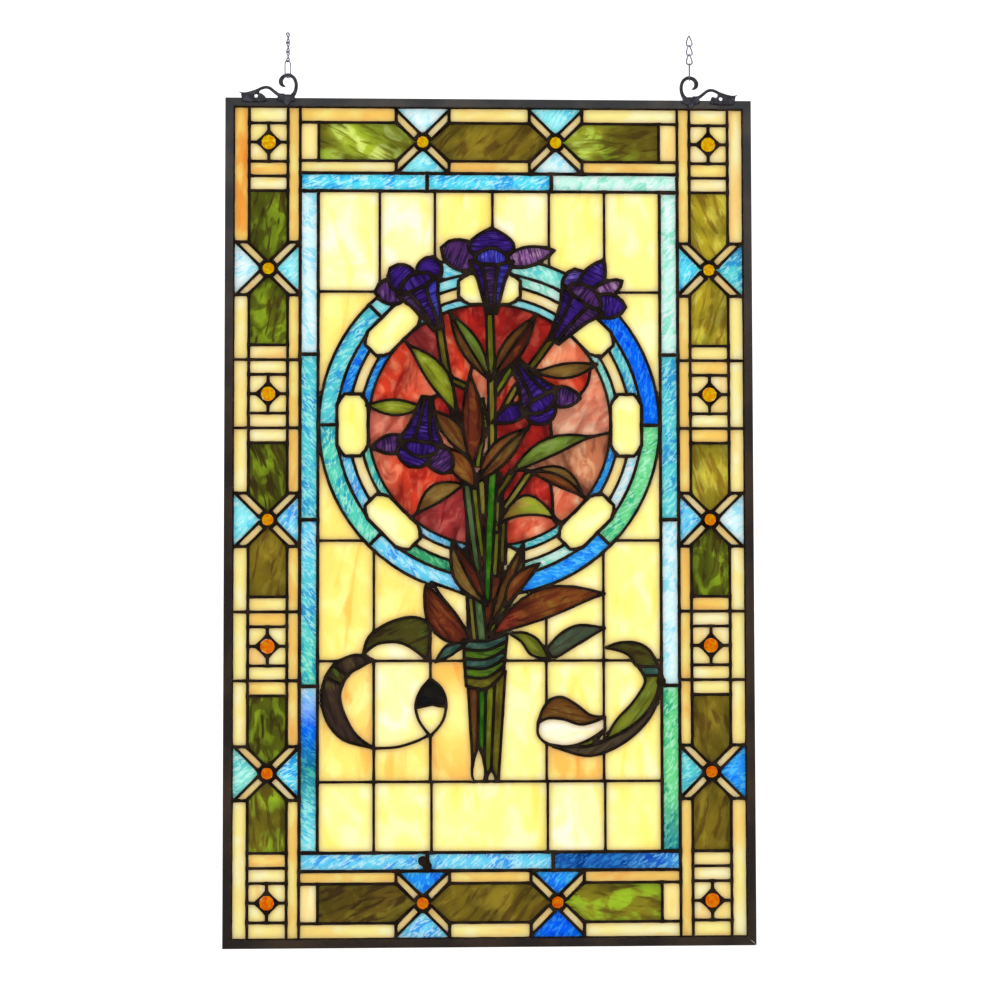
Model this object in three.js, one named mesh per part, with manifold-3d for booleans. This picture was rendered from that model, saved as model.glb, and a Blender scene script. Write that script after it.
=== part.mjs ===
// Hanging stained glass panel: copper-foiled glass pieces soldered into one lattice, held in a
// U-channel frame, with two cast scroll hangers and a short length of chain on each.
//
// Millimetres, +Z up. The front of the panel faces -Y and +X is to the right of someone in front.
// The layout is drawn in panel coordinates, [x, z] from the middle of the panel. The whole part
// hangs from the middle of the line between its two top links, which is the origin.

import * as THREE from 'three';
import { mergeVertices } from 'three/addons/utils/BufferGeometryUtils.js';
import Module from 'manifold-3d';

const wasm = await Module();
wasm.setup();

// ---- driving dimensions ---------------------------------------------------------------------

const PANEL_W = 508;
const PANEL_H = 813;
const FRAME_FACE = 8;
const FRAME_DEPTH = 10;
const FLANGE = 1.3;
const WEB = 1.6;

const GLASS_T = 3;
const SOLDER_T = 1.5;
const GAP = 0.3;
const SOLDER_LIFT = 0.35;
const LINE = 2.6;
const WIDE_EXTRA = 0.6;
const REACH_INTO_FRAME = 4;
const PLATE_GAP = 0.35;
const PLATE_JOIN = 0.3;
const SMALLEST_OPENING = 22;
const FLAT_CORNER = 5.5;

// The border, from the frame inwards: outer strip, middle band, inner strip, blue strip.
const STRIP_OUTER = 15;
const BAND = 37.2;
const STRIP_INNER = 11.7;
const BLUE_STRIP = 17.8;

const HALF_W = PANEL_W / 2 - FRAME_FACE;
const HALF_H = PANEL_H / 2 - FRAME_FACE;
const STEP_1 = STRIP_OUTER;
const STEP_2 = STEP_1 + BAND;
const STEP_3 = STEP_2 + STRIP_INNER;
const STEP_4 = STEP_3 + BLUE_STRIP;
const FIELD_W = HALF_W - STEP_4;
const FIELD_H = HALF_H - STEP_4;
const BLUE_W = HALF_W - STEP_3;
const BLUE_H = HALF_H - STEP_3;

// Crossed motifs and jewelled squares take turns down the side bands.
const MOTIF_PITCH = 120.8;
const SQUARE_HALF = 18.6;
const PAIR_OF_BARS = 28.4;
const CORNER_BAR = 16;
const CROSS_HALF = 25.5;
const CROSS_ARM = 5.8;
const CROSS_HUB = 5.5;
const ROW_CROSS_X = 64.3;
const CROSS_JEWEL_R = 5.6;
const SQUARE_JEWEL_R = 6.9;
const JEWEL_SIDES = 8;
const JEWEL_RIM = 2.4;
const JEWEL_RISE = 5;
const JEWEL_TABLE = 0.55;

// The field is a grid of panes, six columns wide.
const COLUMN = FIELD_W / 3;
const ROW_TOP = 219.5;
const ROW_MIDDLE = -20;
const ROW_TIE = -135;
const ROW_FOOT = -250;

// The ring: an outer band, eight long octagons in an inlay, and a round medallion.
const RING_Z = 91;
const RING_R = FIELD_W - 0.3;
const BAND_R = 146.5;
const MEDALLION_R = 116.5;
const OVAL_R = (BAND_R + MEDALLION_R) / 2;
const OVAL_HALF = 30;
const OVAL_STRAIGHT = 19.5;
const OVAL_TIP = 8;
const RING_PARTS = 8;

// The hangers and chains.
const HANGER_X = 194;
const HANGER_T = 2.4;
const HANGER_FRONT = -(FRAME_DEPTH / 2 + GAP + HANGER_T);
const HOOK_LINK_L = 17.5;
const HOOK_LINK_W = 8.8;
const HOOK_WIRE = 1.1;
const HOOK_FOOT = PANEL_H / 2 + 18.5;
const HOOK_TURN_LEFT = THREE.MathUtils.degToRad(48);
const HOOK_TURN_RIGHT = THREE.MathUtils.degToRad(80);
const CHAIN_LINK_L = 11.3;
const CHAIN_LINK_W = 7.5;
const CHAIN_WIRE = 1.3;
const CHAIN_PITCH = CHAIN_LINK_L - 2 * CHAIN_WIRE + 0.3;
const CHAIN_LINKS = 3;
const CHAIN_FOOT = HOOK_FOOT + HOOK_LINK_L - HOOK_WIRE - CHAIN_WIRE + 0.3;
const CHAIN_TOP = CHAIN_FOOT + (CHAIN_LINKS - 1) * CHAIN_PITCH + CHAIN_LINK_L;
const HANG_Z = CHAIN_TOP - CHAIN_WIRE;

const FRONT = -GLASS_T / 2;
const SOLDER_BACK = FRONT - SOLDER_LIFT;
const SOLDER_FRONT = SOLDER_BACK - SOLDER_T;

// ---- materials ------------------------------------------------------------------------------

function finish(color, roughness, metalness) {
  return new THREE.MeshStandardMaterial({ color, roughness, metalness });
}

const MATERIALS = {
  frame: finish(0x2e2620, 0.5, 0.8),
  solder: finish(0x1d1512, 0.55, 0.7),
  hanger: finish(0x33333a, 0.5, 0.8),
  chain: finish(0x6d6f7c, 0.4, 0.9),
  cream: finish(0xf6e39a, 0.25, 0),
  green: finish(0x6d7a1c, 0.25, 0),
  blue: finish(0x5fc3dc, 0.25, 0),
  ring: finish(0x7fcfc0, 0.25, 0),
  red: finish(0xb8402f, 0.25, 0),
  violet: finish(0x33207a, 0.25, 0),
  leaf: finish(0x4f6d22, 0.25, 0),
  ribbon: finish(0x3a3a1c, 0.25, 0),
  jewel: finish(0xe08a10, 0.15, 0),
};

// ---- outlines: lists of [x, z] points, counter-clockwise --------------------------------------

function rect(x0, z0, x1, z1) {
  return [[x0, z0], [x1, z0], [x1, z1], [x0, z1]];
}

function circle([cx, cz], radius, sides) {
  const points = [];
  for (let i = 0; i < sides; i += 1) {
    const angle = ((i + 0.5) / sides) * 2 * Math.PI;
    points.push([cx + radius * Math.cos(angle), cz + radius * Math.sin(angle)]);
  }
  return points;
}

function area(points) {
  let sum = 0;
  points.forEach(([x, z], i) => {
    const [nx, nz] = points[(i + 1) % points.length];
    sum += x * nz - nx * z;
  });
  return sum / 2;
}

function wound(points) {
  return area(points) < 0 ? [...points].reverse() : points;
}

// Local [along, across] points, turned so that along points at the angle and across to its left.
function placed(points, [ox, oz], angle) {
  const c = Math.cos(angle);
  const s = Math.sin(angle);
  return points.map(([along, across]) => [ox + along * c - across * s, oz + along * s + across * c]);
}

// A mirror copy across the upright middle line (sx = -1) or the level one (sz = -1), or both.
function mirrored(points, sx, sz) {
  return wound(points.map(([x, z]) => [x * sx, z * sz]));
}

// The same outline moved outwards by the distance, or inwards where it is negative.
function offset(points, distance) {
  const count = points.length;
  return points.map((point, i) => {
    const before = points[(i + count - 1) % count];
    const after = points[(i + 1) % count];
    const a = new THREE.Vector2(point[0] - before[0], point[1] - before[1]).normalize();
    const b = new THREE.Vector2(after[0] - point[0], after[1] - point[1]).normalize();
    const normal = new THREE.Vector2(a.y + b.y, -a.x - b.x);
    const sharp = Math.max(normal.lengthSq(), 0.35);
    const reach = (2 * distance) / sharp;
    return [point[0] + normal.x * reach, point[1] + normal.y * reach];
  });
}

// A band of changing width along a smooth line through the points.
function ribbon(points, widths, steps) {
  const curve = new THREE.CatmullRomCurve3(points.map(([x, z]) => new THREE.Vector3(x, z, 0)));
  const left = [];
  const right = [];
  for (let i = 0; i <= steps; i += 1) {
    const t = i / steps;
    const at = curve.getPoint(t);
    const way = curve.getTangent(t);
    const place = t * (widths.length - 1);
    const low = Math.min(Math.floor(place), widths.length - 2);
    const half = THREE.MathUtils.lerp(widths[low], widths[low + 1], place - low) / 2;
    left.push([at.x - way.y * half, at.y + way.x * half]);
    right.push([at.x + way.y * half, at.y - way.x * half]);
  }
  return wound([...right, ...left.reverse()]);
}

// A leaf between two tips. Its axis bows to the left of the way from the first tip to the second.
function leaf([ax, az], [bx, bz], width, bow = 0, steps = 3) {
  const length = Math.hypot(bx - ax, bz - az);
  const side = (sign) => {
    const points = [];
    for (let i = 1; i < steps; i += 1) {
      const t = i / steps;
      const axis = bow * length * 4 * t * (1 - t);
      points.push([t * length, axis + (sign * width * Math.sin(Math.PI * t)) / 2]);
    }
    return points;
  };
  const local = [[0, 0], ...side(-1), [length, 0], ...side(1).reverse()];
  return placed(local, [ax, az], Math.atan2(bz - az, bx - ax));
}

// A sector of a ring around the medallion's middle, between two radii and two angles in degrees.
function sector(r0, r1, from, to, steps) {
  const arc = (r, start, end) => {
    const points = [];
    for (let i = 0; i <= steps; i += 1) {
      const angle = THREE.MathUtils.degToRad(start + ((end - start) * i) / steps);
      points.push([r * Math.cos(angle), RING_Z + r * Math.sin(angle)]);
    }
    return points;
  };
  return wound([...arc(r1, from, to), ...arc(r0, to, from)]);
}

// ---- the pieces of the layout -----------------------------------------------------------------

// Every entry is one pane of the lattice. plate names the glass that it belongs to, and own is set
// where the pane is a node of its own. A pane covers whatever was laid before it.
const panes = [];

let over = false;

function lay(points, plate, options = {}) {
  panes.push({ points: wound(points), plate, line: LINE, over, ...options });
}

// A jewelled crossing: four arms, two blue triangles and a jewel, where a green band is crossed.
// Local along runs down the band and across points to the frame.
function crossing(name, centre, angle, flip) {
  const outer = HALF_W - (FIELD_W + BLUE_STRIP + STRIP_INNER + BAND / 2);
  const inner = BAND / 2 + STRIP_INNER;
  const put = (points) => placed(points.map(([u, v]) => [u, v * flip]), centre, angle);
  const base = (v) => Math.min(CROSS_HALF, v - CROSS_ARM);
  [[1, outer, 'border_glass'], [-1, inner, 'blue_border']].forEach(([side, reach, plate]) => {
    const half = base(reach);
    const corner = half + CROSS_ARM;
    const triangle = [[0, CROSS_ARM], [half, corner], [-half, corner]];
    if (corner < reach) {
      triangle.splice(2, 0, [half, reach], [-half, reach]);
    }
    lay(put(triangle.map(([u, v]) => [u, v * side])), plate, { own: plate === 'blue_border' });
    [-1, 1].forEach((way) => {
      const near = CROSS_HUB - CROSS_ARM / 2;
      const far = near + CROSS_ARM;
      const arm = [[far, near], [CROSS_HALF, CROSS_HALF - CROSS_ARM], [CROSS_HALF, corner], [near, far]];
      lay(put(arm.map(([u, v]) => [u * way, v * side])), 'border_glass');
    });
  });
  jewel(name, centre, CROSS_JEWEL_R);
}

function jewel(name, centre, radius) {
  const options = { line: JEWEL_RIM, name, centre, radius };
  lay(circle(centre, radius + JEWEL_RIM / 2, JEWEL_SIDES), 'jewel', options);
}

// A square of four panes in a side band, their inner corners cut off around a jewel.
function square(name, [cx, cz]) {
  const half = SQUARE_HALF;
  const cut = (SQUARE_JEWEL_R + JEWEL_RIM / 2) * Math.SQRT2;
  const quarter = [[half, 0], [half, half], [0, half], [0, cut], [cut, 0]];
  [[1, 1], [-1, 1], [-1, -1], [1, -1]].forEach(([sx, sz]) => {
    lay(quarter.map(([x, z]) => [cx + x * sx, cz + z * sz]), 'border_glass');
  });
  jewel(name, [cx, cz], SQUARE_JEWEL_R);
}

// One side border, laid on the right and mirrored by the sign.
function sideBorder(side, word) {
  const x0 = HALF_W;
  const x1 = HALF_W - STEP_1;
  const x2 = HALF_W - STEP_2;
  const x3 = HALF_W - STEP_3;
  const middle = (x1 + x2) / 2;
  const put = (points, plate, options) => lay(mirrored(points, side, 1), plate, options);
  const squares = [HALF_H - CORNER_BAR - SQUARE_HALF, MOTIF_PITCH, -MOTIF_PITCH];
  squares.push(-squares[0]);
  const crossings = [2 * MOTIF_PITCH, 0, -2 * MOTIF_PITCH];
  const names = ['top', 'upper', 'lower', 'bottom'];
  squares.forEach((z, i) => {
    square(`jewel_${word}_square_${names[i]}`, [side * middle, z]);
    const atTop = i === 0;
    const atFoot = i === 3;
    const above = atTop ? HALF_H : z + SQUARE_HALF + PAIR_OF_BARS;
    const below = atFoot ? -HALF_H : z - SQUARE_HALF - PAIR_OF_BARS;
    put(rect(x2, z + SQUARE_HALF, x1, above), 'border_glass');
    put(rect(x2, below, x1, z - SQUARE_HALF), 'border_glass');
  });
  crossings.forEach((z, i) => {
    const upper = squares[i] - SQUARE_HALF - PAIR_OF_BARS;
    const lower = squares[i + 1] + SQUARE_HALF + PAIR_OF_BARS;
    const waist = CROSS_HALF - CROSS_ARM - 1.1;
    const tip = CROSS_ARM;
    [[1, upper, 'above'], [-1, lower, 'below']].forEach(([way, end, where]) => {
      const green = [
        [x2, end], [x1, end], [x1, z + way * (waist + CROSS_ARM)],
        [middle, z + way * tip], [x2, z + way * (waist + CROSS_ARM)],
      ];
      put(green, 'green', { own: true, name: `green_${word}_${names[i]}_${where}` });
    });
    crossing(`jewel_${word}_crossing_${names[i]}`, [side * middle, z], Math.PI / 2, -side);
  });
  // The strips on each side of the band, from the frame to a crossing and between crossings.
  const stops = [HALF_H, ...crossings.flatMap((z) => [z + CROSS_HALF, z - CROSS_HALF]), -HALF_H];
  [[x1, x0], [x3 + WIDE_EXTRA, x2]].forEach(([near, far]) => {
    for (let i = 0; i < stops.length; i += 2) {
      put(rect(near, stops[i + 1], far, stops[i]), 'border_glass');
    }
  });
}

// The top or bottom border, between the side borders.
function rowBorder(side, word) {
  const z0 = HALF_H;
  const z1 = HALF_H - STEP_1;
  const z2 = HALF_H - STEP_2;
  const z3 = HALF_H - STEP_3;
  const middle = (z1 + z2) / 2;
  const end = HALF_W - STEP_3;
  const near = ROW_CROSS_X - CROSS_HALF;
  const far = ROW_CROSS_X + CROSS_HALF;
  const tip = ROW_CROSS_X - CROSS_ARM;
  const put = (points, plate, options) => lay(mirrored(points, 1, side), plate, options);
  [[z1, z0], [z3 + WIDE_EXTRA, z2]].forEach(([low, high]) => {
    put(rect(-near, low, near, high), 'border_glass');
    put(rect(far, low, end, high), 'border_glass');
    put(rect(-end, low, -far, high), 'border_glass');
  });
  const centre = [[-near, z2], [near, z2], [tip, middle], [near, z1], [-near, z1], [-tip, middle]];
  put(centre, 'green', { own: true, name: `green_${word}_middle` });
  [[-1, 'left'], [1, 'right']].forEach(([way, where]) => {
    const green = [
      [far, z2], [FIELD_W, z2], [FIELD_W, z1], [far, z1], [ROW_CROSS_X + CROSS_ARM, middle],
    ];
    const name = `green_${word}_${where}`;
    put(green.map(([x, z]) => [x * way, z]), 'green', { own: true, name });
    put(rect(FIELD_W, z2, end, z1).map(([x, z]) => [x * way, z]), 'border_glass');
    crossing(`jewel_${word}_crossing_${where}`, [way * ROW_CROSS_X, side * middle], 0, side);
  });
}

// The blue strips: long ones at the top and bottom with the side ones between them.
function blueBorder() {
  const wide = WIDE_EXTRA;
  const part = BLUE_W / 3;
  [-1, 1].forEach((side) => {
    [-1, 0, 1].forEach((i) => {
      const x0 = (2 * i - 1) * part + (i < 0 ? wide : 0);
      const x1 = (2 * i + 1) * part - (i > 0 ? wide : 0);
      lay(mirrored(rect(x0, FIELD_H + wide, x1, BLUE_H - wide), 1, side), 'blue_border');
    });
    [-FIELD_H, 0].forEach((low) => {
      const x0 = FIELD_W + wide;
      lay(mirrored(rect(x0, low, BLUE_W - wide, low + FIELD_H), side, 1), 'blue_border');
    });
  });
}

function fieldGrid() {
  const rows = [
    [ROW_TOP, FIELD_H, [-3, -2, -1, 0, 1, 2, 3]],
    [ROW_MIDDLE, ROW_TOP, [-3, 0, 3]],
    [ROW_TIE, ROW_MIDDLE, [-3, -2, -1, 0, 1, 2, 3]],
    [ROW_FOOT, ROW_TIE, [-3, -2, -1, 0, 1, 2, 3]],
    [-FIELD_H, ROW_FOOT, [-3, -2, -1, 1, 2, 3]],
  ];
  rows.forEach(([low, high, columns]) => {
    for (let i = 0; i + 1 < columns.length; i += 1) {
      lay(rect(columns[i] * COLUMN, low, columns[i + 1] * COLUMN, high), 'field');
    }
  });
}

function ring() {
  const turn = 360 / RING_PARTS;
  const centre = [0, RING_Z];
  lay(circle(centre, RING_R, 3 * RING_PARTS), 'ring', { own: true });
  for (let k = 0; k < RING_PARTS; k += 1) {
    lay(sector(BAND_R, RING_R, k * turn, (k + 1) * turn, 3), 'ring');
  }
  lay(circle(centre, BAND_R, 3 * RING_PARTS), 'ring');
  const half = (BAND_R - MEDALLION_R) / 2;
  const quarter = [[half, OVAL_STRAIGHT], [OVAL_TIP, OVAL_HALF]];
  const mirror = (sx, sz) => quarter.map(([u, v]) => [u * sx, v * sz]);
  const oval = [...quarter, ...mirror(-1, 1).reverse(), ...mirror(-1, -1), ...mirror(1, -1).reverse()];
  for (let k = 0; k < RING_PARTS; k += 1) {
    const angle = THREE.MathUtils.degToRad(k * turn);
    lay(placed(oval, [OVAL_R * Math.cos(angle), RING_Z + OVAL_R * Math.sin(angle)], angle), 'ring');
  }
  lay(circle(centre, MEDALLION_R, 3 * RING_PARTS), 'medallion', { own: true });
}

// The large leaves that lie wholly on the medallion.
function medallionLeaves() {
  lay(leaf([-74, 164], [-31, 103], 14, 0.05), 'medallion');
  lay(leaf([14, 41], [98, 80], 14, 0.1), 'medallion');
  lay(leaf([-118, 108], [-62, 106], 13), 'medallion');
  lay(leaf([46, 142], [106, 151], 13), 'medallion');
  lay(leaf([-22, 145], [-8, 42], 24), 'medallion');
  lay(leaf([-48, 74], [-10, 14], 16), 'medallion');
  lay(leaf([34, 86], [-6, 26], 18), 'medallion');
}

// The bunch of stems and leaves, from the flowers down to the cut ends below the tie.
function bouquet() {
  const options = { own: true };
  const plate = 'bouquet';
  lay(ribbon([[-50, 192], [-36, 120], [-14, 50]], [6, 6, 6], 2), 'medallion');
  lay(ribbon([[64, 178], [32, 130], [4, 66]], [6, 6, 6], 2), 'medallion');
  lay([[-58, -63], [-20, -68], [-19, -108]], plate, options);
  lay(ribbon([[-22, 40], [-17, -30], [-14, -118]], [12, 12, 12], 2), plate, options);
  lay(ribbon([[14, 42], [10, -30], [7, -118]], [15, 15, 15], 2), plate, options);
  lay(ribbon([[1, 206], [0, 60], [-4, -118]], [7, 8, 11], 3), plate, options);
  lay(leaf([-33, -12], [-4, -84], 20, -0.06), plate, options);
  lay(leaf([-62, -57], [-14, -122], 24, -0.08), plate, options);
  lay(leaf([110, -72], [2, -114], 27, -0.06), plate, options);
}

// The tie around the stems and the cut stems below it.
function tieAndCutStems() {
  const options = { own: true };
  const plate = 'bouquet';
  [[-21, -5, -17, -5], [-5, 12, -5, 8]].forEach(([a, b, c, d]) => {
    lay([[c, ROW_FOOT], [d, ROW_FOOT], [b, -145], [a, -145]], plate, options);
  });
  const turns = 3;
  const left = (i) => [-26 + i, -113 - i * 15];
  const right = (i) => [16 - i, -108 - i * 13];
  for (let i = 0; i < turns; i += 1) {
    lay([left(i), left(i + 1), right(i + 1), right(i)], plate, options);
  }
}

// A bell flower seen from the side: three curled lobes behind a body that widens to its mouth.
function bell(name, tip, degrees, length, width) {
  const angle = THREE.MathUtils.degToRad(degrees);
  const put = (half) => {
    const outline = [...half, ...[...half].reverse().map(([along, across]) => [along, -across])];
    const unique = outline.filter(([, across], i) => across !== 0 || i < half.length);
    const sized = unique.map(([along, across]) => [along * length, across * width]);
    lay(placed(sized, tip, angle), name, { own: true });
  };
  put([[0.78, -0.4], [0.86, -1.08], [1.18, -1.12], [1.24, -0.6], [1.54, -0.36], [1.6, 0]]);
  put([[0, -0.12], [0.62, -0.3], [1.02, -0.5], [1.15, 0]]);
}

function flowers() {
  bell('flower_left', [-50, 186], 120, 42, 42);
  bell('flower_right', [62, 172], 55, 50, 44);
  bell('flower_top', [2, 199], 90, 50, 42);
  bell('flower_inner_left', [-54, 124], 254, 50, 42);
  bell('flower_inner_right', [22, 156], -52, 44, 40);
}

// The loose ends of the tie: an arch, two curls, a drop and a leaf low in the field.
function ribbons() {
  const left = { own: true };
  const arch = [[-114, -128], [-106, -104], [-80, -100], [-62, -112], [-56, -136]];
  lay(ribbon(arch, [10, 22, 26, 18, 3], 4), 'ribbon_left', left);
  const curl = [[-98, -130], [-150, -150], [-148, -190], [-100, -218]];
  lay(ribbon(curl, [8, 20, 20, 3], 5), 'ribbon_left', left);
  lay(leaf([-55, -154], [-55, -209], 33), 'field');
  lay(leaf([52, -134], [112, -103], 16, 0.12), 'field');
  lay(leaf([44, -198], [112, -187], 17, 0.1), 'field');
  const band = [[106, -122], [158, -138], [140, -196], [68, -217]];
  lay(ribbon(band, [6, 15, 18, 3], 6), 'ribbon_right', { own: true });
}

// ---- solids -----------------------------------------------------------------------------------

function toManifold(geometry) {
  const bare = geometry.clone();
  bare.deleteAttribute('normal');
  bare.deleteAttribute('uv');
  const merged = mergeVertices(bare, 1e-4);
  return new wasm.Manifold(new wasm.Mesh({
    numProp: 3,
    vertProperties: new Float32Array(merged.attributes.position.array),
    triVerts: new Uint32Array(merged.index.array),
  }));
}

function toGeometry(solid) {
  const mesh = solid.getMesh();
  const geometry = new THREE.BufferGeometry();
  const positions = new Float32Array(mesh.vertProperties);
  geometry.setAttribute('position', new THREE.BufferAttribute(positions, 3));
  geometry.setIndex(new THREE.BufferAttribute(new Uint32Array(mesh.triVerts), 1));
  return geometry;
}

// The outline as a slab between two depths, y0 in front of y1.
function slab(points, y0, y1, holes = []) {
  const shape = new THREE.Shape(points.map(([x, z]) => new THREE.Vector2(x, z)));
  shape.holes = holes.map((hole) => new THREE.Path(hole.map(([x, z]) => new THREE.Vector2(x, z))));
  const geometry = new THREE.ExtrudeGeometry(shape, { depth: y1 - y0, bevelEnabled: false });
  geometry.rotateX(Math.PI / 2);
  geometry.translate(0, y1, 0);
  return geometry;
}

function prism(points, y0, y1) {
  return toManifold(slab(points, y0, y1));
}

// The outline of an upright prism, read round the edge of its front face.
function frontOutline(solid) {
  const mesh = solid.getMesh();
  const depth = solid.boundingBox().min[1];
  const at = (v) => [mesh.vertProperties[v * 3], mesh.vertProperties[v * 3 + 2]];
  const next = new Map();
  for (let t = 0; t < mesh.triVerts.length; t += 3) {
    const corners = [...mesh.triVerts.slice(t, t + 3)];
    if (corners.every((v) => mesh.vertProperties[v * 3 + 1] < depth + 0.01)) {
      corners.forEach((v, i) => next.set(`${v}>${corners[(i + 1) % 3]}`, [v, corners[(i + 1) % 3]]));
    }
  }
  const edges = [...next.values()].filter(([a, b]) => !next.has(`${b}>${a}`));
  const follow = new Map(edges);
  const loop = [edges[0][0]];
  while (follow.get(loop.at(-1)) !== loop[0]) {
    loop.push(follow.get(loop.at(-1)));
  }
  return wound(loop.map(at));
}

// The outline without the corners that hardly show: the flattest goes first.
function simplified(points) {
  const kept = [...points];
  const size = (i) => Math.abs(area([kept.at(i - 1), kept[i], kept[(i + 1) % kept.length]]));
  while (kept.length > 3) {
    const sizes = kept.map((_, i) => size(i));
    const least = sizes.indexOf(Math.min(...sizes));
    if (sizes[least] > FLAT_CORNER) {
      break;
    }
    kept.splice(least, 1);
  }
  return kept;
}

// The solder on the front of the glass: one network with an opening for every pane.
function solderLattice() {
  const deep = 1;
  const through = (points) => prism(points, SOLDER_FRONT - deep, SOLDER_BACK + deep);
  const cell = ({ points, line }) => through(offset(points, -line / 2));
  const ground = panes.filter((pane) => !pane.over);
  let openings = wasm.Manifold.union(ground.map(cell));
  panes.filter((pane) => pane.over).forEach((pane) => {
    const around = offset(pane.points, pane.line / 2);
    openings = openings.subtract(prism(around, SOLDER_FRONT - 2 * deep, SOLDER_BACK + 2 * deep));
    openings = openings.add(cell(pane));
  });
  const edge = REACH_INTO_FRAME;
  const whole = rect(-HALF_W - edge, -HALF_H - edge, HALF_W + edge, HALF_H + edge);
  const cells = openings.decompose().map(frontOutline);
  const clean = cells.filter((outline) => area(outline) > SMALLEST_OPENING)
    .map((outline) => through(simplified(outline)));
  return prism(whole, SOLDER_FRONT, SOLDER_BACK).subtract(wasm.Manifold.union(clean));
}

// Glass plates. A pane laid later takes its place out of the plates of other names.
function glassPlates() {
  const edge = REACH_INTO_FRAME;
  const depth = [FRONT, FRONT + GLASS_T];
  const cutDepth = [FRONT - 1, FRONT + GLASS_T + 1];
  const ringOf = (w, h, innerW, innerH) => {
    const outer = prism(rect(-w, -h, w, h), ...depth);
    return outer.subtract(prism(rect(-innerW, -innerH, innerW, innerH), ...cutDepth));
  };
  const g = PLATE_GAP / 2;
  const plates = {
    border_glass: ringOf(HALF_W + edge, HALF_H + edge, BLUE_W + g, BLUE_H + g),
    blue_border: ringOf(BLUE_W - g, BLUE_H - g, FIELD_W + g, FIELD_H + g),
    field: prism(rect(-FIELD_W + g, -FIELD_H + g, FIELD_W - g, FIELD_H - g), ...depth),
  };
  panes.filter((pane) => pane.own).forEach((pane) => {
    const name = pane.plate === 'green' ? pane.name : pane.plate;
    const cutter = prism(offset(pane.points, PLATE_JOIN + PLATE_GAP), ...cutDepth);
    Object.keys(plates).forEach((other) => {
      if (other !== name) {
        plates[other] = plates[other].subtract(cutter);
      }
    });
    const grow = pane.plate === 'green' ? -PLATE_GAP : PLATE_JOIN;
    const piece = prism(offset(pane.points, grow), ...depth);
    plates[name] = plates[name] ? plates[name].add(piece) : piece;
  });
  return plates;
}

// The panes that are one piece of glass but lie in several places keep their largest pieces.
function separated(solid, names) {
  const pieces = solid.decompose().sort((a, b) => b.volume() - a.volume());
  return names.map((name, i) => [name, pieces[i]]);
}

// A U-channel all round, open to the inside, soldered at its corners.
function frame() {
  const w = PANEL_W / 2;
  const h = PANEL_H / 2;
  const outer = prism(rect(-w, -h, w, h), -FRAME_DEPTH / 2, FRAME_DEPTH / 2);
  const window = prism(rect(-HALF_W, -HALF_H, HALF_W, HALF_H), -FRAME_DEPTH, FRAME_DEPTH);
  const inside = rect(WEB - w, WEB - h, w - WEB, h - WEB);
  const groove = prism(inside, FLANGE - FRAME_DEPTH / 2, FRAME_DEPTH / 2 - FLANGE);
  return outer.subtract(window).subtract(groove);
}

// A round jewel: flat back, sloping crown and a flat table in front.
function jewelSolid({ centre, radius }) {
  const crown = new THREE.CylinderGeometry(radius * JEWEL_TABLE, radius - GAP, JEWEL_RISE, JEWEL_SIDES);
  crown.rotateY(Math.PI / JEWEL_SIDES);
  crown.rotateX(Math.PI);
  crown.translate(centre[0], SOLDER_BACK - JEWEL_RISE / 2, centre[1]);
  return crown;
}

// A cast hanger: a C-scroll over a foot, and an arm that runs out into a leaf.
function hanger(side) {
  const depth = [HANGER_FRONT, HANGER_FRONT + HANGER_T];
  const x = HANGER_X;
  const top = PANEL_H / 2;
  const put = (points) => prism(mirrored(points.map(([u, v]) => [x + u, top + v]), side, 1), ...depth);
  const scroll = [[-5, 0], [-9, 11], [-5.5, 20], [0, 22], [6, 19.5], [7.6, 14], [5, 10.3], [2, 11.5]];
  const arm = [[3, 2.2], [11, 4.5], [17.5, 9.6], [24, 10.8], [30, 7], [37, 4.2], [47, 5]];
  return wasm.Manifold.union([
    put(ribbon(scroll, [5, 3.2, 2.8, 2.8, 2.6, 2.4, 2.2, 2.6], 11)),
    put(ribbon(arm, [3, 2.8, 2.6, 2.8, 5, 6, 1.5], 6)),
    put([[-8, -6], [10, -6], [9, 2.5], [5, 3.8], [-6, 3.8]]),
    put([[20, -3], [44, -3], [46, 3.5], [34, 5.5], [28, 8], [26, 3.5], [21, 2]]),
  ]).subtract(put(circle([30.5, 2], 1.8, 6)));
}

// A chain link: a ring drawn out along z, turned about z.
function link(z, length, width, wire, turn) {
  const radius = (width - wire) / 2;
  const geometry = new THREE.TorusGeometry(radius, wire / 2, 4, 6);
  geometry.rotateZ(Math.PI / 6);
  geometry.rotateX(Math.PI / 2);
  const positions = geometry.attributes.position;
  const stretch = (length - width) / 2;
  for (let i = 0; i < positions.count; i += 1) {
    positions.setZ(i, positions.getZ(i) + Math.sign(positions.getZ(i)) * stretch);
  }
  geometry.rotateZ(turn);
  geometry.translate(0, HANGER_FRONT + HANGER_T / 2, z);
  return toManifold(geometry);
}

// A long link through the scroll and the lowest links of the chain, each a quarter turn on.
function chain(side, turn) {
  const hookZ = HOOK_FOOT + HOOK_LINK_L / 2;
  const links = [link(hookZ, HOOK_LINK_L, HOOK_LINK_W, HOOK_WIRE, turn)];
  for (let i = 0; i < CHAIN_LINKS; i += 1) {
    const low = CHAIN_FOOT + i * CHAIN_PITCH;
    const quarter = turn + ((i + 1) * Math.PI) / 2;
    links.push(link(low + CHAIN_LINK_L / 2, CHAIN_LINK_L, CHAIN_LINK_W, CHAIN_WIRE, quarter));
  }
  return wasm.Manifold.union(links).translate([side * HANGER_X, 0, 0]);
}

// ---- the part ---------------------------------------------------------------------------------

sideBorder(-1, 'left');
sideBorder(1, 'right');
rowBorder(1, 'top_row');
rowBorder(-1, 'bottom_row');
blueBorder();
fieldGrid();
over = true;
ring();
medallionLeaves();
bouquet();
flowers();
tieAndCutStems();
ribbons();

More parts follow.
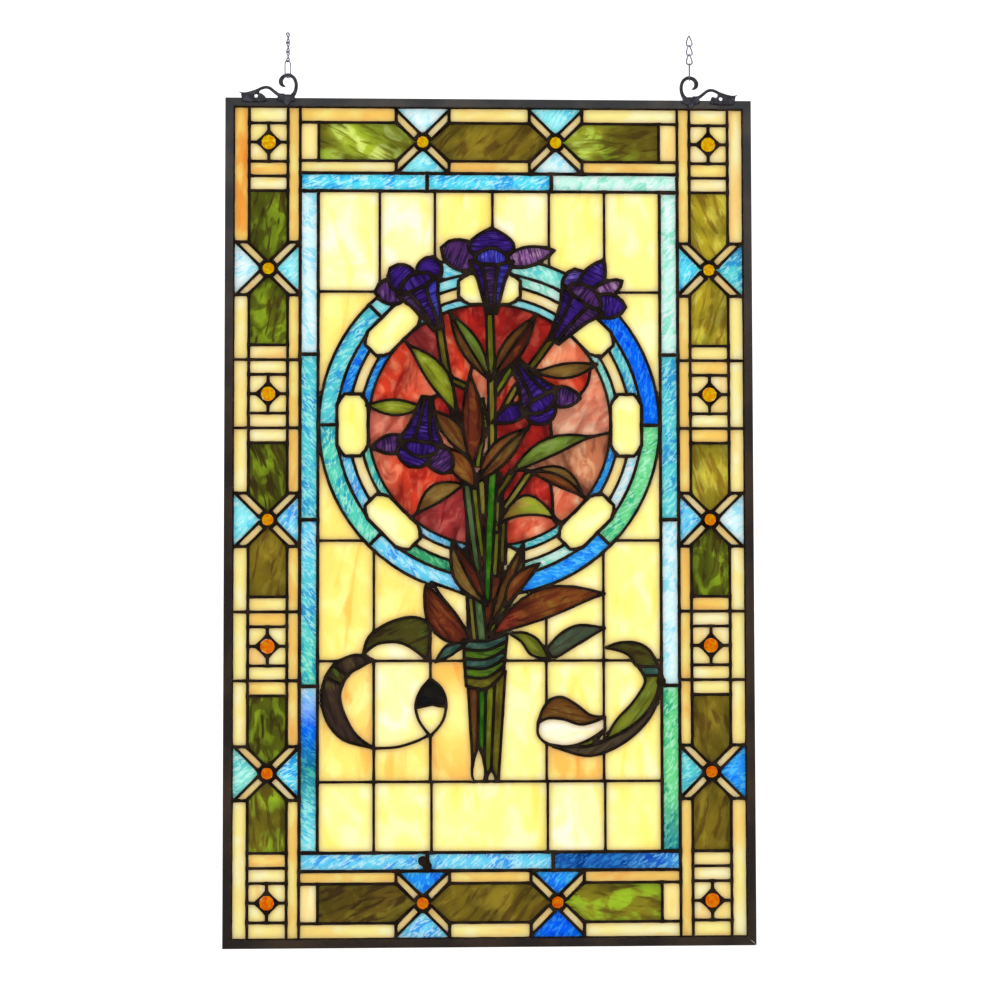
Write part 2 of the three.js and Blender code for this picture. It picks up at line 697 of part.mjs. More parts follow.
const part = new THREE.Group();
const panel = new THREE.Group();
panel.position.set(0, -(HANGER_FRONT + HANGER_T / 2), -HANG_Z);
part.add(panel);

function add(name, geometry, material) {
  const mesh = new THREE.Mesh(geometry, MATERIALS[material]);
  mesh.name = name;
  panel.add(mesh);
}

add('frame', toGeometry(frame()), 'frame');
add('solder_lattice', toGeometry(solderLattice()), 'solder');

const plates = glassPlates();
const split = {
  ring: ['ring_left', 'ring_right', 'ring_top_right', 'ring_top_left'],
  medallion: ['medallion_right', 'medallion_left'],
};
const colours = {
  border: 'cream',
  blue: 'blue',
  field: 'cream',
  ring: 'ring',
  medallion: 'red',
  bouquet: 'leaf',
  green: 'green',
  flower: 'violet',
  ribbon: 'ribbon',
};
Object.entries(plates).forEach(([name, solid]) => {
  const colour = colours[name.split('_')[0]];
  separated(solid, split[name] ?? [name]).forEach(([piece, form]) => add(piece, toGeometry(form), colour));
});

panes.filter((pane) => pane.plate === 'jewel').forEach((pane) => {
  add(pane.name, jewelSolid(pane), 'jewel');
});

[[-1, 'left', HOOK_TURN_LEFT], [1, 'right', HOOK_TURN_RIGHT]].forEach(([side, word, turn]) => {
  add(`hanger_${word}`, toGeometry(hanger(side)), 'hanger');
  add(`chain_${word}`, toGeometry(chain(side, turn)), 'chain');
});

export default part;
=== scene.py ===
"""A hanging stained glass panel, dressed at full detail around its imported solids.

The layout is drawn in millimetres in panel coordinates, (x, z) from the middle of the frame, and repeats
the solids' layout with the panes that they fuse: every pane of glass, the solder beads on both faces, the
jewels, the frame's mitred channel, the cast hangers and the chain links are made one by one.
"""
import math
import random

import bpy
import numpy as np
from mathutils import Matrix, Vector, noise
from mathutils.geometry import delaunay_2d_cdt
from mathutils.kdtree import KDTree

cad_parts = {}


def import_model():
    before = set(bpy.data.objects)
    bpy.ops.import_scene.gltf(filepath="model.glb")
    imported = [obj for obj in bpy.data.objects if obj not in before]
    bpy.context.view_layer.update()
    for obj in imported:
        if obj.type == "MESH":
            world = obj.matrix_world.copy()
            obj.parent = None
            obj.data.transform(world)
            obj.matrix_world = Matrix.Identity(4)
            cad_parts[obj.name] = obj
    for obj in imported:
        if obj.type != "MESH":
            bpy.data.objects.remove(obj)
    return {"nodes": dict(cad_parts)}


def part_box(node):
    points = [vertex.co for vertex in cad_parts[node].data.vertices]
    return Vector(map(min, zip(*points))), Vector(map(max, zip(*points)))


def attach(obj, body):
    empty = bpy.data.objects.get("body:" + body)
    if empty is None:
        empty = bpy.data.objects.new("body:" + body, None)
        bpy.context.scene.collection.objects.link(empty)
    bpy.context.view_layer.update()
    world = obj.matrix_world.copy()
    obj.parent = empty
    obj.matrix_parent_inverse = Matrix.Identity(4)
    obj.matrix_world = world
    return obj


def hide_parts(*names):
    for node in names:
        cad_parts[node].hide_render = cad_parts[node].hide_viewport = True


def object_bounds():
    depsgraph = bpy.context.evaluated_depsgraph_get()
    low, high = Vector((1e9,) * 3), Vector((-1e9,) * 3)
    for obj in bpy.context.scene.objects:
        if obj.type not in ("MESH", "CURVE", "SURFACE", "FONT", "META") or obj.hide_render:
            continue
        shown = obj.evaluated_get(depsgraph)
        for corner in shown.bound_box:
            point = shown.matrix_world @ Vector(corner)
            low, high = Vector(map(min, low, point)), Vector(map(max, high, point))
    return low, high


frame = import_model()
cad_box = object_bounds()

# ---- sizes in millimetres, from the solids ----------------------------------------------------------

MM = 0.001
# The gap that the solids leave between two plates of glass.
PLATE_GAP = 0.35


def half_size(node):
    """Half the width and half the height of a node's box, in millimetres."""
    low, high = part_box(node)
    return (high.x - low.x) / 2 / MM, (high.z - low.z) / 2 / MM


frame_low, frame_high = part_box("frame")
CENTRE = (frame_low + frame_high) / 2
OUTER_W, OUTER_H = half_size("frame")
FRAME_DEPTH = (frame_high.y - frame_low.y) / MM
FRAME_FACE = 8.0
HALF_W = OUTER_W - FRAME_FACE
HALF_H = OUTER_H - FRAME_FACE
FIELD_W, FIELD_H = (size + PLATE_GAP / 2 for size in half_size("field"))
BLUE_STRIP = 17.8
BLUE_W = FIELD_W + BLUE_STRIP
BLUE_H = FIELD_H + BLUE_STRIP

GLASS_T = 3.0
# How far the glass runs into the frame's groove.
GROOVE_REACH = 3.5
# The height of a solder bead over the glass, and how deep its edge lies in it.
BEAD_H = 1.5
BEAD_SUNK = 0.3
# The width of the solder line round a pane, by kind of pane.
LINE = 3.0
FIELD_LINE = 2.7
FINE_LINE = 2.8
RING_LINE = 3.6
WIDE_LINE = 4.0
FLOWER_LINE = 4.0
JEWEL_LINE = 0.8

# The border, from the frame inwards: a strip, the band of squares and crossings, and a strip.
STRIP_OUTER = 15.0
BAND = 37.2
STRIP_INNER = HALF_W - BLUE_W - STRIP_OUTER - BAND
MOTIF_PITCH = 120.8
SQUARE_HALF = 18.6
BAR = 14.2
CORNER_BAR = 16.0
CROSS_HALF = 25.5
CROSS_ARM = 5.8
CROSS_HUB = 5.5
CROSS_WAIST = CROSS_HALF - 1.1
ROW_CROSS_X = 64.3
CROSS_JEWEL_R = 5.6
SQUARE_JEWEL_R = 6.9
BLUE_SPLIT_X = 60.0
BLUE_SPLIT_Z = 159.0

# The heights of the lines across the background.
ROW_TOP = 219.5
ROW_MIDDLE = -20.0
ROW_TIE = -135.0
ROW_FOOT = -250.0

# The ring round the medallion: the height of its middle, and its radii from the outside in.
RING_Z = 91.0
RING_R = FIELD_W - 0.3
BAND_R = 146.5
ARC_R = 135.5
BAR_R = 124.5
MEDALLION_R = 116.5
OVAL_R = (BAND_R + MEDALLION_R) / 2
OVAL_HALF = 30.0
RING_PARTS = 8

# The hangers lie on the front of the frame, a small gap off it.
HANGER_X = 194.0
HANGER_T = 2.4
HANGER_GAP = 0.3
HANGER_Y = -(FRAME_DEPTH / 2 + HANGER_GAP + HANGER_T / 2)

rng = random.Random(7)


def world(x, y, z):
    """A point given in millimetres from the middle of the panel, in metres in the row frame."""
    return (CENTRE.x + x * MM, CENTRE.y + y * MM, CENTRE.z + z * MM)


# ---- glass colours: a body colour, a streak and a highlight, as seen with white light behind ---------

TINTS = {
    "cream": ((255, 244, 154), (254, 220, 120), (255, 253, 200)),
    "cream_bar": ((255, 238, 156), (254, 210, 118), (255, 250, 200)),
    "amber": ((250, 172, 56), (236, 122, 18), (255, 222, 108)),
    "straw": ((253, 212, 100), (248, 180, 76), (255, 242, 140)),
    "field": ((255, 250, 150), (255, 236, 108), (255, 254, 196)),
    "white": ((255, 255, 236), (255, 250, 190), (255, 255, 255)),
    "field_pale": ((255, 253, 180), (255, 244, 136), (255, 255, 228)),
    "field_amber": ((255, 236, 122), (254, 200, 84), (255, 250, 158)),
    "orange": ((255, 198, 86), (252, 152, 30), (255, 232, 132)),
    "sunset": ((255, 226, 120), (252, 140, 20), (255, 250, 160)),
    "lime": ((184, 206, 40), (124, 130, 14), (240, 255, 130)),
    "olive": ((140, 128, 18), (96, 80, 10), (166, 200, 30)),
    "moss": ((88, 96, 6), (60, 46, 6), (150, 180, 20)),
    "umber": ((132, 110, 14), (96, 68, 10), (156, 134, 26)),
    "dark_umber": ((106, 82, 12), (60, 40, 8), (134, 118, 22)),
    "honey": ((196, 176, 28), (150, 116, 20), (226, 214, 66)),
    "azure": ((20, 150, 250), (80, 206, 255), (4, 104, 244)),
    "cyan": ((136, 240, 248), (210, 254, 252), (84, 216, 244)),
    "sky": ((72, 226, 250), (206, 255, 255), (28, 166, 244)),
    "ice": ((216, 252, 254), (250, 255, 255), (150, 230, 250)),
    "white_green": ((202, 252, 236), (250, 255, 255), (130, 232, 200)),
    "aqua": ((74, 208, 218), (176, 248, 240), (34, 152, 216)),
    "teal_green": ((76, 216, 190), (176, 250, 220), (20, 160, 190)),
    "mint": ((104, 222, 140), (186, 250, 210), (40, 176, 120)),
    "royal": ((0, 94, 250), (30, 156, 250), (0, 60, 234)),
    "deep": ((50, 150, 234), (150, 232, 252), (10, 90, 232)),
    "sea": ((16, 128, 156), (60, 196, 176), (0, 84, 136)),
    "navy": ((8, 76, 170), (30, 136, 214), (0, 40, 126)),
    "emerald": ((44, 170, 108), (110, 214, 150), (16, 130, 90)),
    "pale_teal": ((130, 232, 214), (210, 255, 246), (80, 206, 206)),
    "pale_blue": ((96, 214, 248), (206, 246, 254), (46, 150, 240)),
    "scarlet": ((222, 52, 24), (164, 18, 10), (252, 134, 86)),
    "crimson": ((176, 18, 12), (118, 6, 6), (222, 66, 46)),
    "maroon": ((164, 36, 36), (116, 14, 18), (206, 86, 74)),
    "salmon": ((246, 142, 96), (214, 84, 50), (254, 208, 162)),
    "dusky": ((232, 142, 108), (190, 94, 66), (250, 202, 166)),
    "brick": ((202, 118, 76), (126, 58, 34), (240, 180, 132)),
    "coral": ((216, 102, 78), (170, 62, 44), (242, 152, 120)),
    "indigo": ((52, 14, 138), (18, 2, 62), (84, 50, 190)),
    "cobalt": ((66, 66, 226), (26, 14, 118), (110, 130, 255)),
    "plum": ((86, 34, 116), (26, 8, 46), (136, 84, 160)),
    "violet": ((96, 76, 190), (40, 22, 96), (150, 140, 230)),
    "lilac": ((158, 100, 170), (70, 28, 84), (236, 186, 226)),
    "leaf_lime": ((150, 162, 20), (104, 104, 8), (178, 192, 60)),
    "leaf_green": ((118, 152, 40), (84, 96, 16), (150, 176, 80)),
    "leaf_olive": ((116, 100, 22), (74, 48, 8), (138, 140, 36)),
    "leaf_tan": ((142, 104, 34), (108, 66, 18), (160, 140, 60)),
    "leaf_brown": ((116, 68, 16), (84, 34, 8), (132, 112, 34)),
    "leaf_rust": ((142, 68, 16), (104, 34, 8), (156, 108, 30)),
    "leaf_red": ((104, 30, 10), (62, 12, 4), (146, 64, 18)),
    "stem_green": ((40, 134, 4), (16, 84, 2), (96, 170, 30)),
    "stem_lime": ((134, 152, 10), (96, 104, 4), (176, 188, 50)),
    "stem_straw": ((182, 166, 56), (134, 124, 20), (214, 200, 112)),
    "stem_olive": ((120, 110, 10), (84, 68, 6), (150, 142, 28)),
    "sage": ((84, 124, 58), (52, 84, 34), (120, 152, 90)),
    "tie_green": ((96, 140, 16), (44, 84, 8), (150, 186, 50)),
    "crescent": ((170, 186, 36), (186, 160, 60), (160, 186, 20)),
    "slate_green": ((66, 84, 56), (60, 54, 32), (84, 120, 104)),
    "teal": ((56, 104, 86), (26, 58, 48), (112, 162, 134)),
    "ribbon_olive": ((70, 64, 10), (42, 30, 6), (78, 104, 26)),
    "ribbon_brown": ((58, 36, 26), (34, 20, 14), (92, 78, 30)),
    "ribbon_tan": ((88, 70, 44), (58, 42, 26), (112, 94, 60)),
    "ribbon_green": ((134, 142, 24), (88, 92, 14), (120, 152, 50)),
    "black": ((12, 9, 8), (6, 5, 5), (22, 18, 14)),
}
# Light crosses a pane's two faces, so each face takes this power of the colour that shows.
FACE_SHARE = 0.62


def linear(channel):
    """An sRGB channel, 0 to 255, as linear light, 0 to 1."""
    share = channel / 255
    return share / 12.92 if share <= 0.04045 else ((share + 0.055) / 1.055) ** 2.4


def face_colour(rgb):
    """The linear colour of one face of a pane, from the colour that shows through both."""
    return [linear(channel) ** FACE_SHARE for channel in rgb] + [1.0]


# ---- outlines: lists of (x, z) points ----------------------------------------------------------------


def rect(x0, z0, x1, z1):
    """A rectangle between two corners."""
    return [(x0, z0), (x1, z0), (x1, z1), (x0, z1)]


def circle(centre, radius, sides):
    """A circle as a polygon."""
    turns = [(i + 0.5) / sides * math.tau for i in range(sides)]
    return [(centre[0] + radius * math.cos(a), centre[1] + radius * math.sin(a)) for a in turns]


def area(points):
    """The area of an outline, negative where it runs clockwise."""
    return sum(a[0] * b[1] - b[0] * a[1] for a, b in zip(points, points[1:] + points[:1])) / 2


def wound(points):
    """The outline, running anticlockwise."""
    return points[::-1] if area(points) < 0 else points


def placed(points, origin, angle):
    """Local (along, across) points, turned so that along points at the angle and across to its left."""
    c, s = math.cos(angle), math.sin(angle)
    return [(origin[0] + u * c - v * s, origin[1] + u * s + v * c) for u, v in points]


def mirrored(points, sx, sz):
    """The outline with its coordinates multiplied by 1 or -1 each."""
    return wound([(x * sx, z * sz) for x, z in points])


def spline(points, steps, closed=False):
    """A smooth line through the points, with some steps between each two."""
    count = len(points)
    out = []
    last = count if closed else count - 1
    for i in range(last):
        places = range(i - 1, i + 3)
        if closed:
            near = [points[place % count] for place in places]
        else:
            near = [points[min(max(place, 0), count - 1)] for place in places]
        for k in range(steps):
            t = k / steps
            weights = (
                -t + 2 * t * t - t ** 3,
                2 - 5 * t * t + 3 * t ** 3,
                t + 4 * t * t - 3 * t ** 3,
                t ** 3 - t * t,
            )
            out.append(tuple(sum(w * p[axis] for w, p in zip(weights, near)) / 2 for axis in (0, 1)))
    return out if closed else out + [tuple(points[-1])]


def along(values, share):
    """The value at a share of the way through a list, with straight lines between its entries."""
    place = share * (len(values) - 1)
    low = min(int(place), len(values) - 2)
    return values[low] + (values[low + 1] - values[low]) * (place - low)


def edges_of(points, widths, offset=0.0):
    """The left and right edges of a band of changing width along a line of points."""
    left, right = [], []
    for i, (x, z) in enumerate(points):
        before, after = points[max(i - 1, 0)], points[min(i + 1, len(points) - 1)]
        way = Vector((after[0] - before[0], after[1] - before[1])).normalized()
        half = along(widths, i / (len(points) - 1)) / 2
        left.append((x - way.y * (half + offset), z + way.x * (half + offset)))
        right.append((x + way.y * (half - offset), z - way.x * (half - offset)))
    return left, right


def ribbon(points, widths, steps=5, offset=0.0):
    """A band of changing width along a smooth line. An offset moves it to its left."""
    left, right = edges_of(spline(points, steps), widths, offset)
    return wound(right + left[::-1])


def leaf(start, end, width, bow=0.0, steps=9, low=-1.0, high=1.0):
    """A leaf between two tips, bowed to the left, or the part of it between two shares of its width."""
    length = math.dist(start, end)

    def side(share):
        points = []
        for i in range(1, steps):
            t = i / steps
            axis = bow * length * 4 * t * (1 - t)
            points.append((t * length, axis + share * width * math.sin(math.pi * t) / 2))
        return points

    local = [(0, 0)] + side(low) + [(length, 0)] + side(high)[::-1]
    return placed(local, start, math.atan2(end[1] - start[1], end[0] - start[0]))


def sector(r0, r1, start, end, steps=6):
    """A sector of a ring round the medallion's middle, between two radii and two angles in degrees."""

    def arc(radius, a, b):
        turns = [math.radians(a + (b - a) * i / steps) for i in range(steps + 1)]
        return [(radius * math.cos(t), RING_Z + radius * math.sin(t)) for t in turns]

    return wound(arc(r1, start, end) + arc(r0, end, start))


# ---- the layout: a pane covers whatever was laid before it -------------------------------------------

panes = []
jewels = []


def lay(points, group, tint, line=LINE, flow=90.0):
    """One pane of glass and the solder line round it. flow is its streaks' angle from level, in degrees."""
    panes.append({"points": wound(points), "group": group, "tint": tint, "line": line, "flow": flow})


def crossing(centre, angle, flip, tints):
    """A jewelled crossing. Local along runs down the band, and across points to the frame."""
    outer = HALF_W - (FIELD_W + BLUE_STRIP + STRIP_INNER + BAND / 2)
    inner = BAND / 2 + STRIP_INNER

    def put(points, side):
        return placed([(u, v * side * flip) for u, v in points], centre, angle)

    for side, reach, tint in ((1, outer, tints[0]), (-1, inner, tints[1])):
        half = min(CROSS_HALF, reach - CROSS_ARM)
        corner = half + CROSS_ARM
        triangle = [(0, CROSS_ARM), (half, corner), (-half, corner)]
        if corner < reach:
            triangle[2:2] = [(half, reach), (-half, reach)]
        lay(put(triangle, side), "blue", tint, flow=rng.uniform(20, 70))
        for way in (-1, 1):
            near = CROSS_HUB - CROSS_ARM / 2
            far = near + CROSS_ARM
            arm = [(far, near), (CROSS_HALF, CROSS_HALF - CROSS_ARM), (CROSS_HALF, corner), (near, far)]
            arm = [(u * way, v) for u, v in arm]
            lay(put(arm, side), "border", "cream_bar", flow=math.degrees(angle) + 45)
    jewel(centre, CROSS_JEWEL_R)


def jewel(centre, radius):
    """The round place of a jewel. Its stone is made on its own."""
    lay(circle(centre, radius + 0.4, 20), "jewel", "amber", line=JEWEL_LINE)
    jewels.append((centre, radius))


def square(centre):
    """A square of four panes, their inner corners cut off around a jewel."""
    half = SQUARE_HALF
    reach = (SQUARE_JEWEL_R + 0.7) * math.sqrt(2)
    for sx, sz in ((1, 1), (-1, 1), (-1, -1), (1, -1)):
        quarter = [(half, 0), (half, half), (0, half), (0, reach), (reach, 0)]
        tint = rng.choice(("cream", "cream_bar"))
        lay([(centre[0] + x * sx, centre[1] + z * sz) for x, z in quarter], "border", tint)
    jewel(centre, SQUARE_JEWEL_R)


def side_border(side, greens, blues, top_strip):
    """One side border. The tints of its greens and crossings are listed from the top down."""
    x0, x1 = HALF_W, HALF_W - STRIP_OUTER
    x2, x3 = x1 - BAND, BLUE_W
    middle = (x1 + x2) / 2
    corner = HALF_H - CORNER_BAR - SQUARE_HALF
    squares = (corner, MOTIF_PITCH, -MOTIF_PITCH, -corner)
    crossings = (2 * MOTIF_PITCH, 0.0, -2 * MOTIF_PITCH)

    def put(points, group, tint, **options):
        lay(mirrored(points, side, 1), group, tint, **options)

    for i, z in enumerate(squares):
        square((side * middle, z))
        for way, last in ((1, i == 0), (-1, i == 3)):
            near = z + way * SQUARE_HALF
            stops = (near, way * HALF_H) if last else (near, near + way * BAR, near + way * 2 * BAR)
            for a, b in zip(stops, stops[1:]):
                tint = rng.choice(("cream", "cream_bar", "straw"))
                put(rect(x2, min(a, b), x1, max(a, b)), "border", tint, flow=0)
    for i, z in enumerate(crossings):
        upper = squares[i] - SQUARE_HALF - 2 * BAR
        lower = squares[i + 1] + SQUARE_HALF + 2 * BAR
        for k, (way, end) in enumerate(((1, upper), (-1, lower))):
            waist, tip = z + way * CROSS_WAIST, z + way * CROSS_ARM
            points = [(x2, end), (x1, end), (x1, waist), (middle, tip), (x2, waist)]
            put(points, "green", greens[2 * i + k], flow=rng.uniform(70, 115))
        crossing((side * middle, z), math.pi / 2, -side, blues[i])
    split = MOTIF_PITCH - SQUARE_HALF - BAR
    split_far = MOTIF_PITCH + SQUARE_HALF + BAR
    stops = [HALF_H]
    for z in crossings:
        stops += [z + CROSS_HALF, z - CROSS_HALF]
    stops.append(-HALF_H)
    for (near, far), tint in (((x1, x0), "cream"), ((x3, x2), "straw")):
        for high, low in zip(stops[::2], stops[1::2]):
            cuts = [high] + [s for s in (split_far, split, -split, -split_far) if low < s < high] + [low]
            for a, b in zip(cuts, cuts[1:]):
                topmost = near == x1 and a == HALF_H
                put(rect(near, b, far, a), "border", top_strip if topmost else tint)


def row_border(side, greens, blues):
    """The top or bottom border, between the side borders. Tints are listed from left to right."""
    z0, z1 = HALF_H, HALF_H - STRIP_OUTER
    z2, z3 = z1 - BAND, BLUE_H
    middle = (z1 + z2) / 2
    near, far = ROW_CROSS_X - CROSS_HALF, ROW_CROSS_X + CROSS_HALF
    tip = ROW_CROSS_X - CROSS_ARM

    def put(points, group, tint, **options):
        lay(mirrored(points, 1, side), group, tint, **options)

    outer, inner = ("straw", "cream") if side > 0 else ("cream", "straw")
    for low, high, tints in ((z1, z0, (outer, "cream", "cream")), (z3, z2, (inner, "straw", "straw"))):
        for (a, b), tint in zip(((-BLUE_W, -far), (-near, near), (far, BLUE_W)), tints):
            put(rect(a, low, b, high), "border", tint, flow=0)
    centre = [(-near, z2), (near, z2), (tip, middle), (near, z1), (-near, z1), (-tip, middle)]
    put(centre, "green", greens[1], flow=rng.uniform(10, 60))
    for way, tint, blue in ((-1, greens[0], blues[0]), (1, greens[2], blues[1])):
        shape = [(far, z2), (FIELD_W, z2), (FIELD_W, z1), (far, z1), (ROW_CROSS_X + CROSS_ARM, middle)]
        put([(x * way, z) for x, z in shape], "green", tint, flow=rng.uniform(-30, 30))
        put([(x * way, z) for x, z in rect(FIELD_W, z2, BLUE_W, z1)], "border", "cream_bar")
        crossing((way * ROW_CROSS_X, side * middle), 0.0, side, blue)


def blue_border():
    """The blue strips: long ones above and below, in three pieces, with the side ones between them."""
    rows = (
        (1, ("sky", "sky", "white_green")),
        (-1, ("pale_blue", "pale_blue", ("navy", "navy", "deep"))),
    )
    for side, tints in rows:
        stops = (-BLUE_W, -BLUE_SPLIT_X, BLUE_SPLIT_X, BLUE_W)
        for a, b, tint in zip(stops, stops[1:], tints):
            points = rect(a, FIELD_H, b, BLUE_H)
            lay(mirrored(points, 1, side), "blue", tint, line=WIDE_LINE, flow=rng.uniform(20, 50))
    sides = (
        (-1, ("ice", "aqua", ("pale_blue", "aqua", "teal_green"), ("ice", "royal", "sea", "aqua", "cyan"))),
        (1, ("white_green", "aqua", "ice", ("mint", "mint", "mint", "sea"))),
    )
    for side, tints in sides:
        stops = (FIELD_H, BLUE_SPLIT_Z, 0.0, -BLUE_SPLIT_Z, -FIELD_H)
        for high, low, tint in zip(stops, stops[1:], tints):
            points = rect(FIELD_W, low, BLUE_W, high)
            lay(mirrored(points, side, 1), "blue", tint, line=WIDE_LINE, flow=side * rng.uniform(35, 60))


def field_grid():
    """The background, six columns wide, hand-cut to slightly uneven widths, each row from left to right."""
    plain, pale, amber = "field", "field_pale", "field_amber"
    tan = ("orange", amber, "orange")
    upper = (-FIELD_W, -105.5, -52.5, 3.0, 57.5, 111.0, FIELD_W)
    lower = (-FIELD_W, -111.0, -57.0, 0.0, 54.0, 109.0, FIELD_W)
    foot = (-FIELD_W, -111.0, -56.0, 55.0, 110.0, FIELD_W)
    rows = (
        (ROW_TOP, FIELD_H, upper, (pale, pale, plain, pale, plain, plain)),
        (ROW_MIDDLE, ROW_TOP, (-FIELD_W, 0.0, FIELD_W), (amber, plain)),
        (ROW_TIE, ROW_MIDDLE, lower, (amber, amber, amber, plain, plain, plain)),
        (ROW_FOOT, ROW_TIE, lower, (amber, pale, tan, plain, plain, plain)),
        (-FIELD_H, ROW_FOOT, foot, (plain, plain, plain, pale, plain)),
    )
    for low, high, columns, tints in rows:
        for a, b, tint in zip(columns, columns[1:], tints):
            lay(rect(a, low, b, high), "field", tint, line=FIELD_LINE, flow=rng.uniform(75, 105))
    lay(rect(lower[4], ROW_FOOT, lower[5], -212.0), "field", "orange", line=FIELD_LINE)


def ring():
    """The ring: an outer band, an inlay of arcs on both sides of a bar, and long octagons over it."""
    turn = 360 / RING_PARTS
    band = ("royal", "pale_teal", "cyan", "aqua", "teal_green", "pale_blue", "azure", "mint")
    outer = ("aqua", "white_green", "cyan", "azure", "pale_blue", "emerald", "white_green", "ice")
    inner = ("pale_teal", "cyan", "cyan", "azure", "teal_green", "pale_blue", "aqua", "azure")
    for k in range(RING_PARTS):
        start, end = k * turn, (k + 1) * turn
        for r0, r1, group, tint, line, lean in (
            (BAND_R, RING_R, "ring", band[k], RING_LINE, 60),
            (ARC_R, BAND_R, "ring", outer[k], LINE, 60),
            (BAR_R, ARC_R, "ring_cream", "cream_bar", LINE, 90),
            (MEDALLION_R, BAR_R, "ring", inner[k], LINE, 60),
        ):
            lay(sector(r0, r1, start, end, 9), group, tint, line=line, flow=start + turn / 2 + lean)
    half = (BAND_R - MEDALLION_R) / 2
    quarter = [(half, 19.0), (0.82 * half, 24.8), (0.5 * half, OVAL_HALF)]
    for k in range(RING_PARTS):
        angle = math.radians(k * turn)
        oval = []
        for su, sv in ((1, 1), (-1, 1), (-1, -1), (1, -1)):
            part = [(u * su, v * sv) for u, v in quarter]
            oval += part if su * sv > 0 else part[::-1]
        centre = (OVAL_R * math.cos(angle), RING_Z + OVAL_R * math.sin(angle))
        lay(placed(oval, centre, angle), "ring_cream", "field", line=RING_LINE, flow=k * turn + 90)


# The tints of the medallion's panes: each pane takes that of the nearest of these places.
MEDALLION_TINTS = (
    ((-88, 138), ("scarlet", "scarlet", "salmon")),
    ((-66, 172), "maroon"), ((-36, 160), "scarlet"), ((-12, 185), "crimson"),
    ((-30, 122), "crimson"), ((30, 182), "crimson"), ((77, 155), "salmon"), ((72, 136), "scarlet"),
    ((94, 100), ("salmon", "dusky", "dusky")),
    ((80, 52), "brick"), ((40, 74), "crimson"), ((18, 84), "salmon"), ((48, 28), "crimson"),
    ((80, 12), "salmon"), ((42, 0), ("scarlet", "salmon", "scarlet")), ((-41, 2), "maroon"),
    ((-78, 37), ("salmon", "scarlet", "scarlet", "crimson")),
    ((-98, 92), "coral"), ((-41, 76), "salmon"), ((-9, 132), "salmon"),
    ((14, 121), "scarlet"), ((26, 117), "scarlet"),
)
# Seams between its panes that don't start from the tip of a leaf or petal near its edge.
MEDALLION_SEAMS = (
    [(-60, 116), (-44, 122)],
    [(-19, 138), (-16, 152)],
    [(97, 148), (94, 130), (80, 112)],
    [(48, 142), (35, 143)],
    [(58, 98), (61, 66)],
    [(36, 86), (41, 97)],
    [(20, 44), (28, 48), (38, 46)],
    [(56, 46), (60, 24), (62, -1), (74, -5)],
)
# Tips nearer than this to the middle of the medallion get no seam.
SEAM_FREE_R = 60.0


def medallion():
    """The red disc. The outer tips of leaves and petals on it are joined to its edge by seams."""
    centre = Vector((0.0, RING_Z))
    lay(circle(centre, MEDALLION_R + 2, 48), "medallion", "crimson", line=FINE_LINE)
    tips = [sorted((start, end), key=lambda p: math.dist(p, centre)) for start, end, *_ in MEDALLION_LEAVES]
    tips += [tip for flower in FLOWERS for tip in petal_tips(*flower)]
    for inner, outer in tips:
        tip = Vector(outer)
        if not SEAM_FREE_R < (tip - centre).length < MEDALLION_R + 1:
            continue
        way = (tip - Vector(inner)).normalized() + 0.7 * (tip - centre).normalized()
        end = tip.copy()
        while (end - centre).length < MEDALLION_R + 1:
            end += way.normalized()
        seam([tuple(tip - way), tuple(tip.lerp(end, 0.5)), tuple(end)])
    for path in MEDALLION_SEAMS:
        seam(path)


def seam(path, width=0.3):
    """A seam with no pane of its own: it only parts the glass that it crosses."""
    left, right = edges_of(spline(path, 4), [width, width])
    lay(right + left[::-1], "solder", "black", line=FINE_LINE)


def nearest_tint(region):
    """The tint of the named place nearest to the middle of a pane's area."""
    turns = region.starts[:, 0] * region.ends[:, 1] - region.ends[:, 0] * region.starts[:, 1]
    middle = ((region.starts + region.ends) * turns[:, None]).sum(0) / (3 * turns.sum())
    return min(MEDALLION_TINTS, key=lambda spot: math.dist(spot[0], middle))[1]


# Two tips, a width, a bow to the left, and one tint or, from right to left of a midrib, two.
MEDALLION_LEAVES = (
    ((1, 134), (-38, 199), 19, 0.0, "leaf_green", "leaf_brown"),
    ((2, 136), (44, 196), 20, 0.0, "leaf_red", "leaf_brown"),
    ((-33, 102), (-78, 168), 20, -0.08, "leaf_lime"),
    ((-20, 60), (-55, 105), 18, -0.06, "leaf_brown"),
    ((20, 44), (98, 80), 17, 0.09, "leaf_green"),
    ((-64, 108), (-118, 110), 15, 0.02, "leaf_lime"),
    ((44, 142), (104, 150), 14, -0.04, "leaf_tan"),
    ((38, 46), (90, 22), 18, 0.14, "leaf_rust", "leaf_tan"),
    ((-24, 34), (-70, 6), 17, -0.12, "leaf_tan"),
    ((-17, 50), (-19, 140), 20, -0.02, "leaf_red"),
    ((-14, 30), (-46, 70), 20, -0.06, "leaf_rust"),
    ((-12, 36), (36, 88), 21, 0.04, "leaf_brown", "leaf_rust"),
    ((8, -5), (65, -1), 19, 0.3, ("leaf_rust", "crescent", "crescent")),
)
FIELD_LEAVES = (
    ((32, -24), (0, -102), 18, 0.04, "leaf_brown", "leaf_olive"),
    ((48, -42), (14, -84), 13, -0.1, "leaf_rust"),
    ((-36, -20), (-3, -82), 22, -0.06, "leaf_tan", "leaf_red"),
    ((-62, -61), (-14, -124), 27, -0.1, "leaf_red"),
    ((110, -71), (0, -112), 28, -0.1, ("crimson", "leaf_red", "leaf_rust", "leaf_rust", "leaf_brown")),
)
